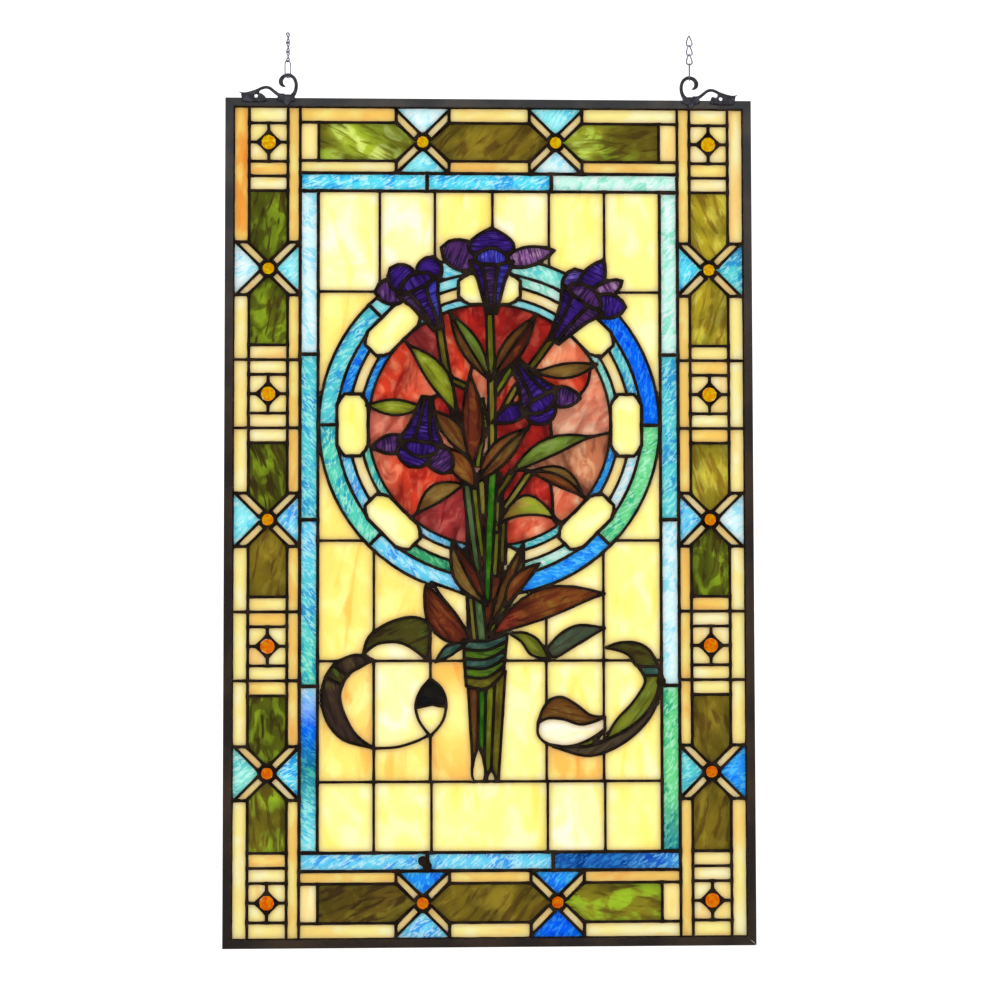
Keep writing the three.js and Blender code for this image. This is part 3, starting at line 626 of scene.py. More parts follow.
# The middle line, the widths along it and the tint of each stem, from the flowers down to the tie.
STEMS = (
    ([(-48, 184), (-43, 150), (-36, 114), (-32, 98)], (7, 7.4, 7), "stem_olive"),
    ([(-38, 135), (-20, 127)], (6, 6), "stem_olive"),
    ([(60, 174), (38, 144)], (6.6, 6.6), "stem_olive"),
    ([(19, 158), (2, 132)], (6, 6), "stem_lime"),
    ([(25, 152), (6, 122)], (6, 6), "stem_lime"),
    ([(28, 132), (7, 94)], (6, 6), "stem_straw"),
    ([(0, 205), (1, 168), (2, 134)], (6.4, 7, 6), "stem_lime"),
    ([(2, 136), (2.6, 60)], (6.8, 6.4), "stem_straw"),
    ([(-9, 116), (-4, 84)], (7, 6), "stem_lime"),
    ([(-7, 88), (-12, 50)], (7, 6), "stem_lime"),
    ([(-35, 98), (-26, 78)], (7, 8), "stem_lime"),
    ([(22, 46), (5, 20)], (6, 6), "stem_olive"),
    ([(39, 46), (14, 10)], (6, 6), "stem_straw"),
    ([(8, 18), (6, -12)], (5, 6), "stem_straw"),
    ([(13, 0), (12, -42)], (5.6, 6), "stem_olive"),
    ([(6, -12), (4, -54)], (8.4, 6), "leaf_lime"),
    ([(-8, 40), (-6.5, 4)], (7.4, 6), "stem_straw"),
    ([(-15, 32), (-12, 0), (-7, -36)], (6.6, 6.6, 5), "stem_lime"),
    ([(-22, 34), (-17, -10), (-9, -66)], (7, 7.4, 5), "sage"),
    ([(3, 48), (0.5, 0), (-3, -78)], (8.6, 8.6, 6.5), "stem_green"),
    ([(-18, -74), (-14, -120)], (7, 6.4), "stem_straw"),
    ([(-12, -70), (-7, -120)], (9, 9), "sage"),
    ([(7, -78), (2, -110)], (6, 6), "stem_lime"),
)


def lay_leaf(start, end, width, bow, *tints):
    """A leaf of one pane, or of two with a seam for its midrib."""
    flow = math.degrees(math.atan2(end[1] - start[1], end[0] - start[0]))
    stops = (-1.0, 1.0) if len(tints) == 1 else (-1.0, 0.1, 1.0)
    for low, high, tint in zip(stops, stops[1:], tints):
        lay(leaf(start, end, width, bow, low=low, high=high), "bouquet", tint, line=FINE_LINE, flow=flow)


def bouquet():
    """The bunch: dark leaves behind, the stems, and the leaves round and over them."""
    lay([(-22, -72), (-56, -60), (-20, -110)], "field", "cream")
    lay(ribbon([(-6, 44), (-4, -16), (-7, -118)], [34, 36, 28]), "bouquet", "leaf_red", flow=90)
    for path, widths, tint in STEMS:
        way = math.degrees(math.atan2(path[-1][1] - path[0][1], path[-1][0] - path[0][0]))
        lay(ribbon(path, widths), "bouquet", tint, line=FINE_LINE, flow=way)
    for shape in MEDALLION_LEAVES + FIELD_LEAVES:
        lay_leaf(*shape)


def tie_and_cut_stems():
    """The tie round the stems, a stack of curved turns, and the cut stems below it."""
    for near, far, low_near, low_far, tint in (
        (-22, -11, -16, -12, "leaf_brown"), (-11, -3.5, -12, -6, "stem_green"),
        (-3.5, 5, -6, 0.5, "stem_lime"), (5, 15, 0.5, 8, "stem_olive"),
    ):
        foot = [(low_near, ROW_FOOT), (low_far, ROW_FOOT)]
        lay(foot + [(far, -145), (near, -145)], "bouquet", tint, flow=88)
    for tip, low, width in (((-11, -216), -266, 13), ((1, -238), -260, 9)):
        cut = [(x, max(z, ROW_FOOT)) for x, z in leaf(tip, (tip[0], low), width)]
        lay(cut, "field", "cream")
    turns = ("teal", "tie_green", "teal", "tie_green", "stem_olive")
    height = 44 / len(turns)
    for i, tint in enumerate(turns):
        low, high = -115 - (i + 1) * height, -115 - i * height
        top = spline([(-26 + i * 0.6, high), (-4, high - 1), (17 - i * 0.8, high + 6 + i)], 4)
        foot = spline([(-26 + (i + 1) * 0.6, low), (-4, low - 3), (17 - (i + 1) * 0.8, low + 8 + i)], 4)
        lay(foot + top[::-1], "bouquet", tint, flow=5)


# Tip, direction, length and width; petals, each with its angle from the flower's axis, length, width,
# how pointed it is, and tint; and the tints of the throat and of the body's panes.
FLOWERS = (
    ((-49, 184), 116, 44, 42, (
        (66, 34, 26, 0.2, "plum"), (-46, 28, 25, 0.2, "indigo"), (24, 31, 27, 0.2, "indigo"),
    ), ("indigo", "plum", "indigo", "cobalt")),
    ((62, 172), 55, 48, 46, (
        (40, 27, 27, 0.3, "violet"), (6, 44, 24, 0.7, "indigo"),
        (-24, 41, 17, 0.3, "lilac"), (-58, 35, 24, 0.3, "indigo"),
    ), ("plum", "indigo", "indigo", "plum")),
    ((2, 199), 90, 48, 40, (
        (70, 43, 30, 0.2, "plum"), (-77, 54, 20, 0.7, "lilac"), (0, 34, 46, 0.8, "indigo"),
    ), ("cobalt", "indigo", "plum", "cobalt")),
    ((-60, 118), 262, 44, 42, (
        (-75, 39, 20, 0.8, "plum"), (47, 35, 25, 0.2, "plum"), (-14, 25, 32, 0.2, "indigo"),
    ), ("indigo", "indigo", "indigo", "indigo")),
    ((25, 152), -58, 42, 40, (
        (54, 34, 21, 0.5, "plum"), (-97, 42, 18, 0.9, "indigo"), (-14, 24, 30, 0.2, "indigo"),
    ), ("indigo", "indigo", "indigo", "plum")),
)


# A petal is pointed where its share of sharp sides is more than this.
POINTED = 0.6


def petal_root(tip, degrees, length, width, turn):
    """Where a petal leaves the flower's mouth."""
    base = (length * 1.02, math.sin(math.radians(turn)) * width * 0.22)
    return placed([base], tip, math.radians(degrees))[0]


def petal_tips(tip, degrees, length, width, petals, _):
    """The root and the tip of each pointed petal."""
    out = []
    for turn, reach, _, point, _ in petals:
        if point > POINTED:
            root = petal_root(tip, degrees, length, width, turn)
            out.append((root, placed([(reach, 0)], root, math.radians(degrees + turn))[0]))
    return out


def bell(tip, degrees, length, width, petals, tints):
    """A bell flower: petals round a bright throat, behind a body of three panes."""
    for turn, reach, spread, point, tint in petals:
        sides = ([], [])
        for i in range(1, 9):
            t = i / 9
            round_side = math.sqrt(1 - (2 * t - 1) ** 2)
            sharp_side = math.sin(math.pi * t) * (1.1 - 0.3 * t)
            half = spread / 2 * (point * sharp_side + (1 - point) * round_side)
            for side, way in zip(sides, (-1, 1)):
                side.append((t * reach, way * half))
        outline = [(0, 0)] + sides[0] + [(reach, 0)] + sides[1][::-1]
        root = petal_root(tip, degrees, length, width, turn)
        way = degrees + turn
        lay(placed(outline, root, math.radians(way)), "flower", tint, line=FLOWER_LINE, flow=way + 90)

    def put(points, tint, flow):
        outline = placed([(u * length, v * width) for u, v in points], tip, math.radians(degrees))
        lay(outline, "flower", tint, line=FLOWER_LINE, flow=degrees + flow)

    def seam_line(share):
        """A line down the body, from the tip to the mouth, at a share of its width."""
        widening = [(0, share * 0.24), (0.62, share * 0.6), (0.86, share * 0.84)]
        return spline(widening + [(0.97 + 0.3 * share ** 2, share)], 3)

    throat, left, core, right = tints
    mouth = [(0.96, -0.2), (1.05, -0.38), (1.2, -0.34), (1.32, 0), (1.2, 0.34), (1.05, 0.38), (0.96, 0.2)]
    put(spline(mouth, 3, closed=True), throat, 0)
    lines = [seam_line(share) for share in (0.52, 0.25, -0.17, -0.52)]
    for a, b, tint in zip(lines, lines[1:], (left, core, right)):
        put(b + a[::-1], tint, 90)


def crescent(outer, inner):
    """The shape between two smooth lines that share their ends."""
    return spline(outer, 4) + spline(inner, 4)[1:-1][::-1]


def left_ribbon():
    """The tie's left end: an arch, a curl round an amber pane, and a dark-capped drop."""
    under = [(-121, -128), (-108, -119), (-90, -117), (-76, -122), (-60, -134)]
    lay(spline(under, 4) + [(-60, ROW_TIE), (-113, ROW_TIE)], "field", "field_pale")
    over = [(-121, -128), (-116, -112), (-98, -99), (-76, -93), (-60, -98), (-57, -112), (-60, -134)]
    lay(crescent(over, under), "ribbon", "ribbon_olive", flow=20)
    upper = [(-52, -136), (-42, -121), (-22, -117)]
    lower = [(-52, -136), (-36, -129), (-22, -117)]
    lay(crescent(upper, lower), "ribbon", "teal", flow=40)
    outer = [
        (-112, -134), (-128, -129), (-146, -136), (-157, -150),
        (-161, -170), (-156, -192), (-140, -210), (-111, -218),
    ]
    inner = [
        (-112, -134), (-124, -141), (-134, -147), (-141, -158),
        (-143, -172), (-137, -190), (-127, -206), (-111, -218),
    ]
    outer, inner = spline(outer, 4), spline(inner, 4)
    lay(inner + [(-111, -217), (-111, -136)], "field", "sunset", flow=80)
    cuts = (0, 9, 12, len(outer) - 1)
    for start, end, tint in zip(cuts, cuts[1:], ("ribbon_brown", "ribbon_olive", "ribbon_brown")):
        lay(outer[start:end + 1] + inner[start:end + 1][::-1], "ribbon", tint, flow=-70)
    under_curl = spline([(-111, -218), (-90, -217), (-72, -212), (-57, -205)], 4)
    lay(under_curl + [(-57, ROW_FOOT), (-111, ROW_FOOT)], "field", "field_amber")
    left = spline([(-57, -152), (-66, -162), (-71, -176), (-68, -192), (-57, -207)], 4)
    right = spline([(-57, -152), (-47, -160), (-42, -174), (-45, -192), (-57, -207)], 4)
    lay(left + right[1:-1][::-1], "ribbon", "black", flow=0)
    lay(left[9:] + right[9:-1][::-1] + [(-49, -178), (-55, -176.5), (-62, -178)], "field", "field")


def right_ribbon():
    """The tie's right end: two leaves, a long curl, and a brown-capped pale drop."""
    upper = [(18, -109), (32, -108), (46, -115), (58, -134)]
    lower = [(18, -109), (30, -117), (40, -130), (58, -134)]
    lay(crescent(upper, lower), "ribbon", "ribbon_green", flow=-40)
    upper = [(54, -124), (68, -109), (86, -101), (110, -104)]
    lower = [(54, -124), (62, -132), (80, -122), (110, -104)]
    lay(crescent(upper, lower), "ribbon", "slate_green", flow=28)
    cap_foot = [(46, -194), (56, -190), (70, -191), (86, -196), (98, -194), (110, -189)]
    cap = [(46, -194), (50, -182), (58, -172), (70, -170), (84, -178), (96, -187), (110, -189)]
    bowl = [(46, -194), (46, -206), (56, -215), (74, -217), (92, -212), (110, -201)]
    lay(spline(cap_foot, 4) + spline(bowl, 4)[1:][::-1], "field", "white", flow=0)
    lay(crescent(cap, cap_foot), "ribbon", "leaf_brown", flow=-10)
    sliver = [(56, -215), (76, -221), (94, -219), (110, -201)]
    lay(crescent(bowl[2:], sliver), "ribbon", "ribbon_green", flow=20)
    crest = [(110, -123), (124, -118), (140, -118), (153, -125), (162, -141)]
    crest_foot = [(110, -123), (124, -126), (134, -131), (142, -141), (162, -141)]
    lay(crescent(crest, crest_foot), "ribbon", "ribbon_olive", flow=-20)
    lay([(142, -141), (162, -141), (164, -151), (148, -150)], "ribbon", "teal", flow=-15)
    curl = [(148, -150), (148, -158), (136, -176), (121, -192), (110, -211)]
    fold = [(164, -151), (159, -170), (147, -188), (129, -202), (110, -211)]
    lay(crescent(curl, curl[:1] + fold), "ribbon", "ribbon_green", flow=-125)
    rim = [(164, -151), (163, -168), (153, -190), (135, -209), (112, -222), (90, -226), (60, -217)]
    lay(crescent(rim, fold + [(92, -217), (60, -217)]), "ribbon", "ribbon_tan", flow=-140)


# Where a drop of solder has run over the glass, and its radius.
SOLDER_DROPS = (((-64, -325), 3.2), ((-60, -330), 2.6), ((164, -155), 3.0))


def lay_borders():
    """The four borders, each with its own tints."""
    left_greens = ("moss", "moss", "moss", "umber", "moss", "olive")
    left_blues = (("ice", "cyan"), ("cyan", "pale_blue"), ("pale_teal", "sky"))
    side_border(-1, left_greens, left_blues, "amber")
    right_greens = ("honey", "honey", "honey", "moss", "umber", "umber")
    right_blues = (("aqua", "sky"), ("ice", "pale_blue"), ("azure", "aqua"))
    side_border(1, right_greens, right_blues, "cream_bar")
    top_greens = (("olive", "lime", "lime", "olive"), "umber", ("lime", "olive", "umber"))
    row_border(1, top_greens, (("ice", "cyan"), ("cyan", "ice")))
    row_border(-1, ("dark_umber", "umber", "olive"), (("pale_blue", "azure"), ("royal", "azure")))


def lay_everything():
    """The whole layout, from the ground up."""
    lay(rect(-HALF_W, -HALF_H, HALF_W, HALF_H), "solder", "black")
    lay_borders()
    blue_border()
    field_grid()
    medallion()
    ring()
    bouquet()
    for flower in FLOWERS:
        bell(*flower)
    tie_and_cut_stems()
    left_ribbon()
    right_ribbon()
    for centre, radius in SOLDER_DROPS:
        lay(circle(centre, radius, 9), "solder", "black")


# ---- from the layout to the visible panes ------------------------------------------------------------

# Corners nearer to each other than this are one corner.
SNAP = 0.01
# The step between the points along a bead, and their rows, as shares of half the bead's width.
BEAD_STEP = 4.4
BEAD_ROWS = (0.62, 1.0)
# How much wider a bead is where three seams meet, and how far from there.
JOINT_SWELL = 0.42
JOINT_REACH = 3.4
# A bead's turn counts as a corner from this sine on, inwards and outwards.
INNER_CORNER = 0.05
OUTER_CORNER = -0.3


class Region:
    """What shows of one pane: the edges round it, each with the pane on its left."""

    def __init__(self, pane, edges):
        self.pane = pane
        self.edges = edges
        self.starts = np.array([a for a, _ in edges])
        self.ends = np.array([b for _, b in edges])

    def inside(self, points):
        """Which of the points lie inside, by counting the edges that a level line crosses."""
        x, z = points[:, 0:1], points[:, 1:2]
        (ax, az), (bx, bz) = self.starts.T, self.ends.T
        spans = (az <= z) != (bz <= z)
        rise = np.where(bz == az, 1.0, bz - az)
        crosses = ax + (z - az) / rise * (bx - ax) > x
        return (spans & crosses).sum(1) % 2 == 1

    def distance(self, points):
        """How far each point is from the nearest edge."""
        way = self.ends - self.starts
        squared = np.maximum((way ** 2).sum(1), 1e-12)
        from_a = points[:, None, :] - self.starts[None]
        share = np.clip((from_a * way).sum(2) / squared, 0, 1)
        return np.linalg.norm(from_a - share[..., None] * way, axis=2).min(1)


def visible_regions():
    """Cuts the laid panes where they cross, and gives each part to the pane that was laid last."""
    corners, outlines = [], []
    for pane in panes:
        start = len(corners)
        corners += [Vector(p) for p in pane["points"]]
        outlines.append(list(range(start, len(corners))))
    points, _, faces, _, _, sources = delaunay_2d_cdt(corners, [], outlines, 1, SNAP, True)
    top = [max(source) for source in sources]
    owner = {}
    for face, corner in enumerate(faces):
        for k in range(3):
            owner[corner[k], corner[(k + 1) % 3]] = face
    seen, regions = set(), []
    for first in range(len(faces)):
        if first in seen:
            continue
        seen.add(first)
        stack, border = [first], []
        while stack:
            face = stack.pop()
            for k in range(3):
                a, b = faces[face][k], faces[face][(k + 1) % 3]
                other = owner.get((b, a))
                if other is None or top[other] != top[face]:
                    border.append((tuple(points[a]), tuple(points[b])))
                elif other not in seen:
                    seen.add(other)
                    stack.append(other)
        regions.append(Region(panes[top[first]], border))
    return regions


def stepped(a, b, step):
    """Points from a to b, b left out, at even steps that come out the same from either end."""
    count = max(1, round(math.dist(a, b) / step))
    return [(a[0] + (b[0] - a[0]) * k / count, a[1] + (b[1] - a[1]) * k / count) for k in range(count)]


def bead_width(point, line):
    """Half the width of the bead at a point: hand-laid solder is uneven, and swells where seams meet."""
    broad = noise.noise((point[0] / 12, point[1] / 12, 3.0))
    fine = noise.noise((point[0] / 4, point[1] / 4, 9.0))
    uneven = 0.16 * broad + 0.05 * fine
    away = joints.find((point[0], point[1], 0.0))[2]
    return line / 2 * (1 + uneven + JOINT_SWELL * math.exp(-((away / JOINT_REACH) ** 2)))


def find_joints(regions):
    """The points where three panes or more meet, for a search of the nearest."""
    touching = {}
    for number, region in enumerate(regions):
        for a, _ in region.edges:
            touching.setdefault(a, set()).add(number)
    points = [point for point, numbers in touching.items() if len(numbers) > 2]
    tree = KDTree(len(points))
    for i, point in enumerate(points):
        tree.insert((point[0], point[1], 0.0), i)
    tree.balance()
    return tree


def bead_points(region):
    """Points beside the seams of a region, in rows that climb the bead, clear of the other seams."""
    line = region.pane["line"]
    after, before = {}, {}
    for a, b in region.edges:
        after.setdefault(a, []).append(b)
        before.setdefault(b, []).append(a)
    rows = []

    def add(base, normal):
        """The bead's rows over a point of a seam, each set in by its share of the width found there."""
        for share in BEAD_ROWS:
            reach = bead_width(base, line) * share
            for _ in range(2):
                point = (base[0] + normal[0] * reach, base[1] + normal[1] * reach)
                reach = bead_width(point, line) * share
            rows.append((*point, reach))

    for a, b in region.edges:
        length = math.dist(a, b)
        if length < 1e-6:
            continue
        normal = ((a[1] - b[1]) / length, (b[0] - a[0]) / length)
        for point in stepped(a, b, BEAD_STEP) + [b]:
            add(point, normal)
        if len(after[a]) != 1 or len(before.get(a, ())) != 1:
            continue
        previous = before[a][0]
        reach = max(math.dist(previous, a), 1e-6)
        last = ((previous[1] - a[1]) / reach, (a[0] - previous[0]) / reach)
        turn = last[0] * normal[1] - last[1] * normal[0]
        facing = last[0] * normal[0] + last[1] * normal[1]
        if turn > INNER_CORNER and facing > -0.9:
            add(a, ((last[0] + normal[0]) / (1 + facing), (last[1] + normal[1]) / (1 + facing)))
        elif turn < OUTER_CORNER:
            angle = math.atan2(turn, facing)
            start = math.atan2(last[1], last[0])
            fans = max(1, round(abs(angle) / 0.5))
            for k in range(1, fans):
                way = start + angle * k / fans
                add(a, (math.cos(way), math.sin(way)))
    points = np.array(rows)
    clear = region.distance(points[:, :2]) > points[:, 2] - 0.1
    return points[clear & region.inside(points[:, :2]), :2]


def triangles_in(region, border, extra):
    """Triangles over a region, through its stepped border and some points inside it."""
    corners = [Vector(a) for a, _ in border] + [Vector(p) for p in extra]
    start = {a: i for i, (a, _) in enumerate(border)}
    ends = [start.get(b) for _, b in border]
    edges = [(i, end) for i, end in enumerate(ends) if end is not None]
    points, _, faces, _, _, _ = delaunay_2d_cdt(corners, edges, [], 0, SNAP / 4, True)
    points = np.array([tuple(p) for p in points])
    faces = np.array(faces)
    middles = points[faces].mean(1)
    return points, faces[region.inside(middles)]


def stepped_border(region, step):
    """The border edges cut into even steps."""
    out = []
    for a, b in region.edges:
        points = stepped(a, b, step) + [b]
        out += list(zip(points, points[1:]))
    return out


def tucked(x, z, reach):
    """A point on the rim of the glass, moved outwards into the frame's groove."""
    if abs(x) > HALF_W - 0.05:
        x = math.copysign(HALF_W + reach, x)
    if abs(z) > HALF_H - 0.05:
        z = math.copysign(HALF_H + reach, z)
    return x, z


def new_object(name, points, faces, smooth_angle=40.0):
    """A mesh object from points in millimetres from the middle of the panel."""
    mesh = bpy.data.meshes.new(name)
    mesh.from_pydata([world(*p) for p in points], [], [tuple(int(i) for i in f) for f in faces])
    mesh.validate()
    mesh.update()
    mesh.polygons.foreach_set("use_smooth", [True] * len(mesh.polygons))
    mesh.set_sharp_from_angle(angle=math.radians(smooth_angle))
    piece = bpy.data.objects.new(name, mesh)
    bpy.context.scene.collection.objects.link(piece)
    return piece


def finish_piece(piece, material, nodes):
    """Gives a piece its material and its ride, and hides the solids that it stands for."""
    piece.data.materials.append(material)
    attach(piece, "root")
    if nodes:
        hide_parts(*nodes)


def open_edges(faces):
    """The edges of some triangles that no other triangle shares."""
    edges = dict.fromkeys(edge for a, b, c in faces for edge in ((a, b), (b, c), (c, a)))
    return [(a, b) for a, b in edges if (b, a) not in edges]


def slab_faces(tris, start, count):
    """The faces of a slab. Its far side repeats the near side's points, count points later."""
    faces = [tuple(start + i for i in tri) for tri in tris]
    faces += [tuple(start + count + i for i in tri[::-1]) for tri in tris]
    faces += [(start + b, start + a, start + count + a, start + count + b) for a, b in open_edges(tris)]
    return faces


def solder_network(regions):
    """The solder as one solid: a bead on each face, joined through the glass along every opening."""
    index, points, heights, faces = {}, [], [], []

    def vertex(x, z, height):
        x, z = tucked(x, z, 0.0)
        key = (round(x, 2), round(z, 2))
        if key not in index:
            index[key] = len(points)
            points.append((x, z))
            heights.append(height)
        return index[key]

    for region in regions:
        line = region.pane["line"]
        filled = region.pane["group"] == "solder"
        extra = [] if filled else bead_points(region)
        near, tris = triangles_in(region, stepped_border(region, BEAD_STEP), extra)
        # How far each point is from the seam to the bead's edge, 0 to 1, snapped at both ends.
        shares = region.distance(near) / np.array([bead_width(p, line) for p in near])
        shares = np.where(shares > 0.96, 1.0, np.where(shares < 0.04, 0.0, shares))
        keep = np.ones(len(tris), bool)
        if filled:
            shares[:] = 0.0
        else:
            middles = near[tris].mean(1)
            keep = region.distance(middles) < [bead_width(p, line) for p in middles]
        for tri in tris[keep]:
            corner = []
            for i in tri:
                x, z = near[i]
                swell = 1 + 0.1 * noise.noise((x / 9, z / 9, 8.0))
                corner.append(vertex(x, z, math.sqrt(1 - shares[i] ** 2) * swell))
            if len(set(corner)) == 3:
                faces.append(corner)
    skin = GLASS_T / 2 - BEAD_SUNK
    front = [(x, -skin - (BEAD_H + BEAD_SUNK) * h, z) for (x, z), h in zip(points, heights)]
    back = [(x, skin + (BEAD_H + BEAD_SUNK) * h, z) for (x, z), h in zip(points, heights)]
    return new_object("solder_network", front + back, slab_faces(faces, 0, len(points)), 60.0)


# The step between the points inside a pane, in millimetres, by kind of glass.
GRIDS = {
    "blue": 2.2, "ring": 2.2, "flower": 2.2, "border": 3.2, "ring_cream": 3.2,
    "bouquet": 2.6, "ribbon": 2.6, "medallion": 3.6,
}
PLAIN_GRID = 6.0
# The depth of the ripples on a face, and how closely they lie across the streaks and along them.
RELIEF = {"blue": (0.14, 0.42, 0.16), "ring": (0.14, 0.42, 0.16), "flower": (0.1, 0.6, 0.12)}
PLAIN_RELIEF = (0.12, 0.07, 0.03)
# How far from its edge a pane's rim reaches: painted shade and flux stain along the solder lines.
RIM_SHADE_AND_STAIN_REACH = 6.0


def graded_tints(region, points):
    """The three colours at each point: one tint, or several in turn from the top or the left end down."""
    names = region.pane["tint"]
    names = (names, names) if isinstance(names, str) else names
    low, high = region.starts.min(0), region.starts.max(0)
    width, height = high - low
    share = (points[:, 0] - low[0]) / width if width > height else (high[1] - points[:, 1]) / height
    place = np.clip(share, 0, 1) * (len(names) - 1)
    stops = np.arange(len(names))
    parts = []
    for k in range(3):
        colours = np.array([face_colour(TINTS[name][k]) for name in names])
        parts.append(np.column_stack([np.interp(place, stops, channel) for channel in colours.T]))
    return np.array(parts)


def points_inside(region, xs, zs, clear, shift=0.0):
    """The points of a grid that lie inside a region, clear of its edges. Every other row is shifted."""
    mesh_x, mesh_z = np.meshgrid(xs, zs)
    mesh_x[1::2] += shift
    points = np.column_stack([mesh_x.ravel(), mesh_z.ravel()])
    points = points[region.inside(points)]
    return points[region.distance(points) > clear]


def glass_mesh(name, regions, group):
    """Every pane of a kind as a slab with rippled faces, with its tints and its streaks' way."""
    grid = GRIDS.get(group, PLAIN_GRID)
    depth, across, lengthwise = RELIEF.get(group, PLAIN_RELIEF)
    points, faces, flows, tints, rims = [], [], [], [], []
    for region in regions:
        border = stepped_border(region, grid * 1.5)
        low, high = region.starts.min(0), region.starts.max(0)
        xs = np.arange(low[0] + grid * 0.7, high[0], grid)
        zs = np.arange(low[1] + grid * 0.7, high[1], grid * 0.87)
        inner = points_inside(region, xs, zs, grid / 2, shift=grid / 2)
        near, tris = triangles_in(region, border, inner)
        start, count = len(points), len(near)
        turn = math.radians(region.pane["flow"])
        c, s = math.cos(turn), math.sin(turn)
        shift = (rng.uniform(0, 4000), rng.uniform(0, 4000))
        flow = [(x * c + z * s + shift[0], z * c - x * s + shift[1]) for x, z in near]
        for face in (-1, 1):
            for (x, z), (u, v) in zip(near, flow):
                wave = depth * noise.noise((u * lengthwise, v * across, 5.0 * face))
                x, z = tucked(x, z, GROOVE_REACH)
                points.append((x, face * GLASS_T / 2 + wave, z))
                flows.append((u, v))
        faces += slab_faces(tris, start, count)
        tints.append(np.tile(graded_tints(region, near), (1, 2, 1)))
        # How far each point lies in from the pane's edge, for the rim's painted shade and flux stain.
        rims += list(np.clip(region.distance(near) / RIM_SHADE_AND_STAIN_REACH, 0, 1)) * 2
    piece = new_object(name, points, faces)
    mesh = piece.data
    layer = mesh.uv_layers.new(name="flow")
    corners = np.zeros(len(mesh.loops), np.int32)
    mesh.loops.foreach_get("vertex_index", corners)
    layer.data.foreach_set("uv", (np.array(flows)[corners] / 100).ravel())
    for k, part in enumerate(("body", "streak", "light")):
        attribute = mesh.attributes.new(f"tint_{part}", "FLOAT_COLOR", "POINT")
        attribute.data.foreach_set("color", np.concatenate([tint[k] for tint in tints]).ravel())
    middle = mesh.attributes.new("middle", "FLOAT", "POINT")
    middle.data.foreach_set("value", np.array(rims))
    return piece


# ---- materials ---------------------------------------------------------------------------------------


class Nodes:
    """Builds a material's node tree."""

    def __init__(self, name):
        self.material = bpy.data.materials.new(name)
        self.material.use_nodes = True
        self.tree = self.material.node_tree
        self.tree.nodes.clear()

    def feed(self, socket, value):
        """Links a socket to another, or sets it to a plain value."""
        if isinstance(value, bpy.types.NodeSocket):
            self.tree.links.new(value, socket)
        else:
            socket.default_value = value

    def add(self, kind, inputs=None, **settings):
        """A node of a kind, its settings made and its inputs fed."""
        node = self.tree.nodes.new(kind)
        for key, value in settings.items():
            setattr(node, key, value)
        for key, value in (inputs or {}).items():
            self.feed(node.inputs[key], value)
        return node

    def shader(self, kind, inputs):
        """A surface shader, such as Principled or Translucent."""
        return self.add("ShaderNodeBsdf" + kind, inputs).outputs["BSDF"]

    def both(self, share, a, b):
        """Two shaders in one. The share is that of the second."""
        return self.add("ShaderNodeMixShader", {0: share, 1: a, 2: b}).outputs["Shader"]

    def output(self, shader):
        """The finished material."""
        out = self.add("ShaderNodeOutputMaterial")
        self.tree.links.new(shader, out.inputs["Surface"])
        return self.material

    def point(self):
        """The point on the surface, in the object's own frame, in metres."""
        return self.add("ShaderNodeTexCoord").outputs["Object"]

    def height(self, point):
        """How high a point lies."""
        return self.add("ShaderNodeSeparateXYZ", {"Vector": point}).outputs["Z"]

    def noise(self, vector, scale, detail, distortion=0.0):
        """Soft noise, 0 to 1, gathered round a half."""
        inputs = {"Vector": vector, "Scale": scale, "Detail": detail, "Distortion": distortion}
        return self.add("ShaderNodeTexNoise", inputs).outputs["Fac"]

    def spread(self, value, low, high, to_low=0.0, to_high=1.0):
        """A value's range stretched smoothly over another."""
        inputs = {"Value": value, "From Min": low, "From Max": high, "To Min": to_low, "To Max": to_high}
        return self.add("ShaderNodeMapRange", inputs, interpolation_type="SMOOTHSTEP").outputs["Result"]

    def mix(self, share, a, b, blend="MIX"):
        """Two colours in one. The share is that of the second."""
        node = self.add("ShaderNodeMix", data_type="RGBA", blend_type=blend)
        sockets = [s for s in node.inputs if s.type == "RGBA"]
        for socket, value in zip((node.inputs[0], *sockets), (share, a, b)):
            self.feed(socket, value)
        return next(s for s in node.outputs if s.type == "RGBA")

    def patches(self, point, scale, detail, reach, dark, light):
        """Soft patches of two colours."""
        return self.mix(self.spread(self.noise(point, scale, detail), *reach), dark, light)

    def grey(self, value):
        """A value as a grey."""
        inputs = {"Red": value, "Green": value, "Blue": value}
        return self.add("ShaderNodeCombineColor", inputs).outputs["Color"]

    def bump(self, height, distance, strength=0.5):
        """The surface's normal over bumps of a height."""
        inputs = {"Height": height, "Distance": distance, "Strength": strength}
        return self.add("ShaderNodeBump", inputs).outputs["Normal"]


GLASS_LOOKS = {
    # streaks' length and width, clouds' size (mm); where veins and lights set in; swirl, grain, rim share
    # (painted shade and flux stain along the solder)
    "cream": ((80, 20), (0.5, 0.72), 40, (0.44, 0.64), 0.0, 0.02, 0.62),
    "green": ((30, 7), (0.48, 0.62), 26, (0.47, 0.58), 0.35, 0.12, 0.15),
    "ripple": ((8, 2.6), (0.5, 0.57), 20, (0.49, 0.6), 0.0, 0.06, 0.0),
    "red": ((30, 13), (0.47, 0.66), 20, (0.45, 0.66), 0.25, 0.05, 0.2),
    "violet": ((24, 2.0), (0.47, 0.56), 16, (0.5, 0.66), 0.15, 0.06, 0.5),
    "leaf": ((34, 5), (0.48, 0.62), 16, (0.48, 0.62), 0.2, 0.06, 0.7),
    "ribbon": ((36, 5), (0.48, 0.62), 20, (0.52, 0.68), 0.15, 0.06, 0.5),
}
# The length and width of the fine ripples on all glass, in millimetres.
FINE_RIPPLES = (7, 1.8)
# The share of a pane's look that is light from behind.
LIGHT_THROUGH = 0.75
# The rim of the cream glass: painted shade and flux stain along the solder lines, in peach.
CREAM_RIM_SHADE_AND_STAIN = (255, 206, 130)


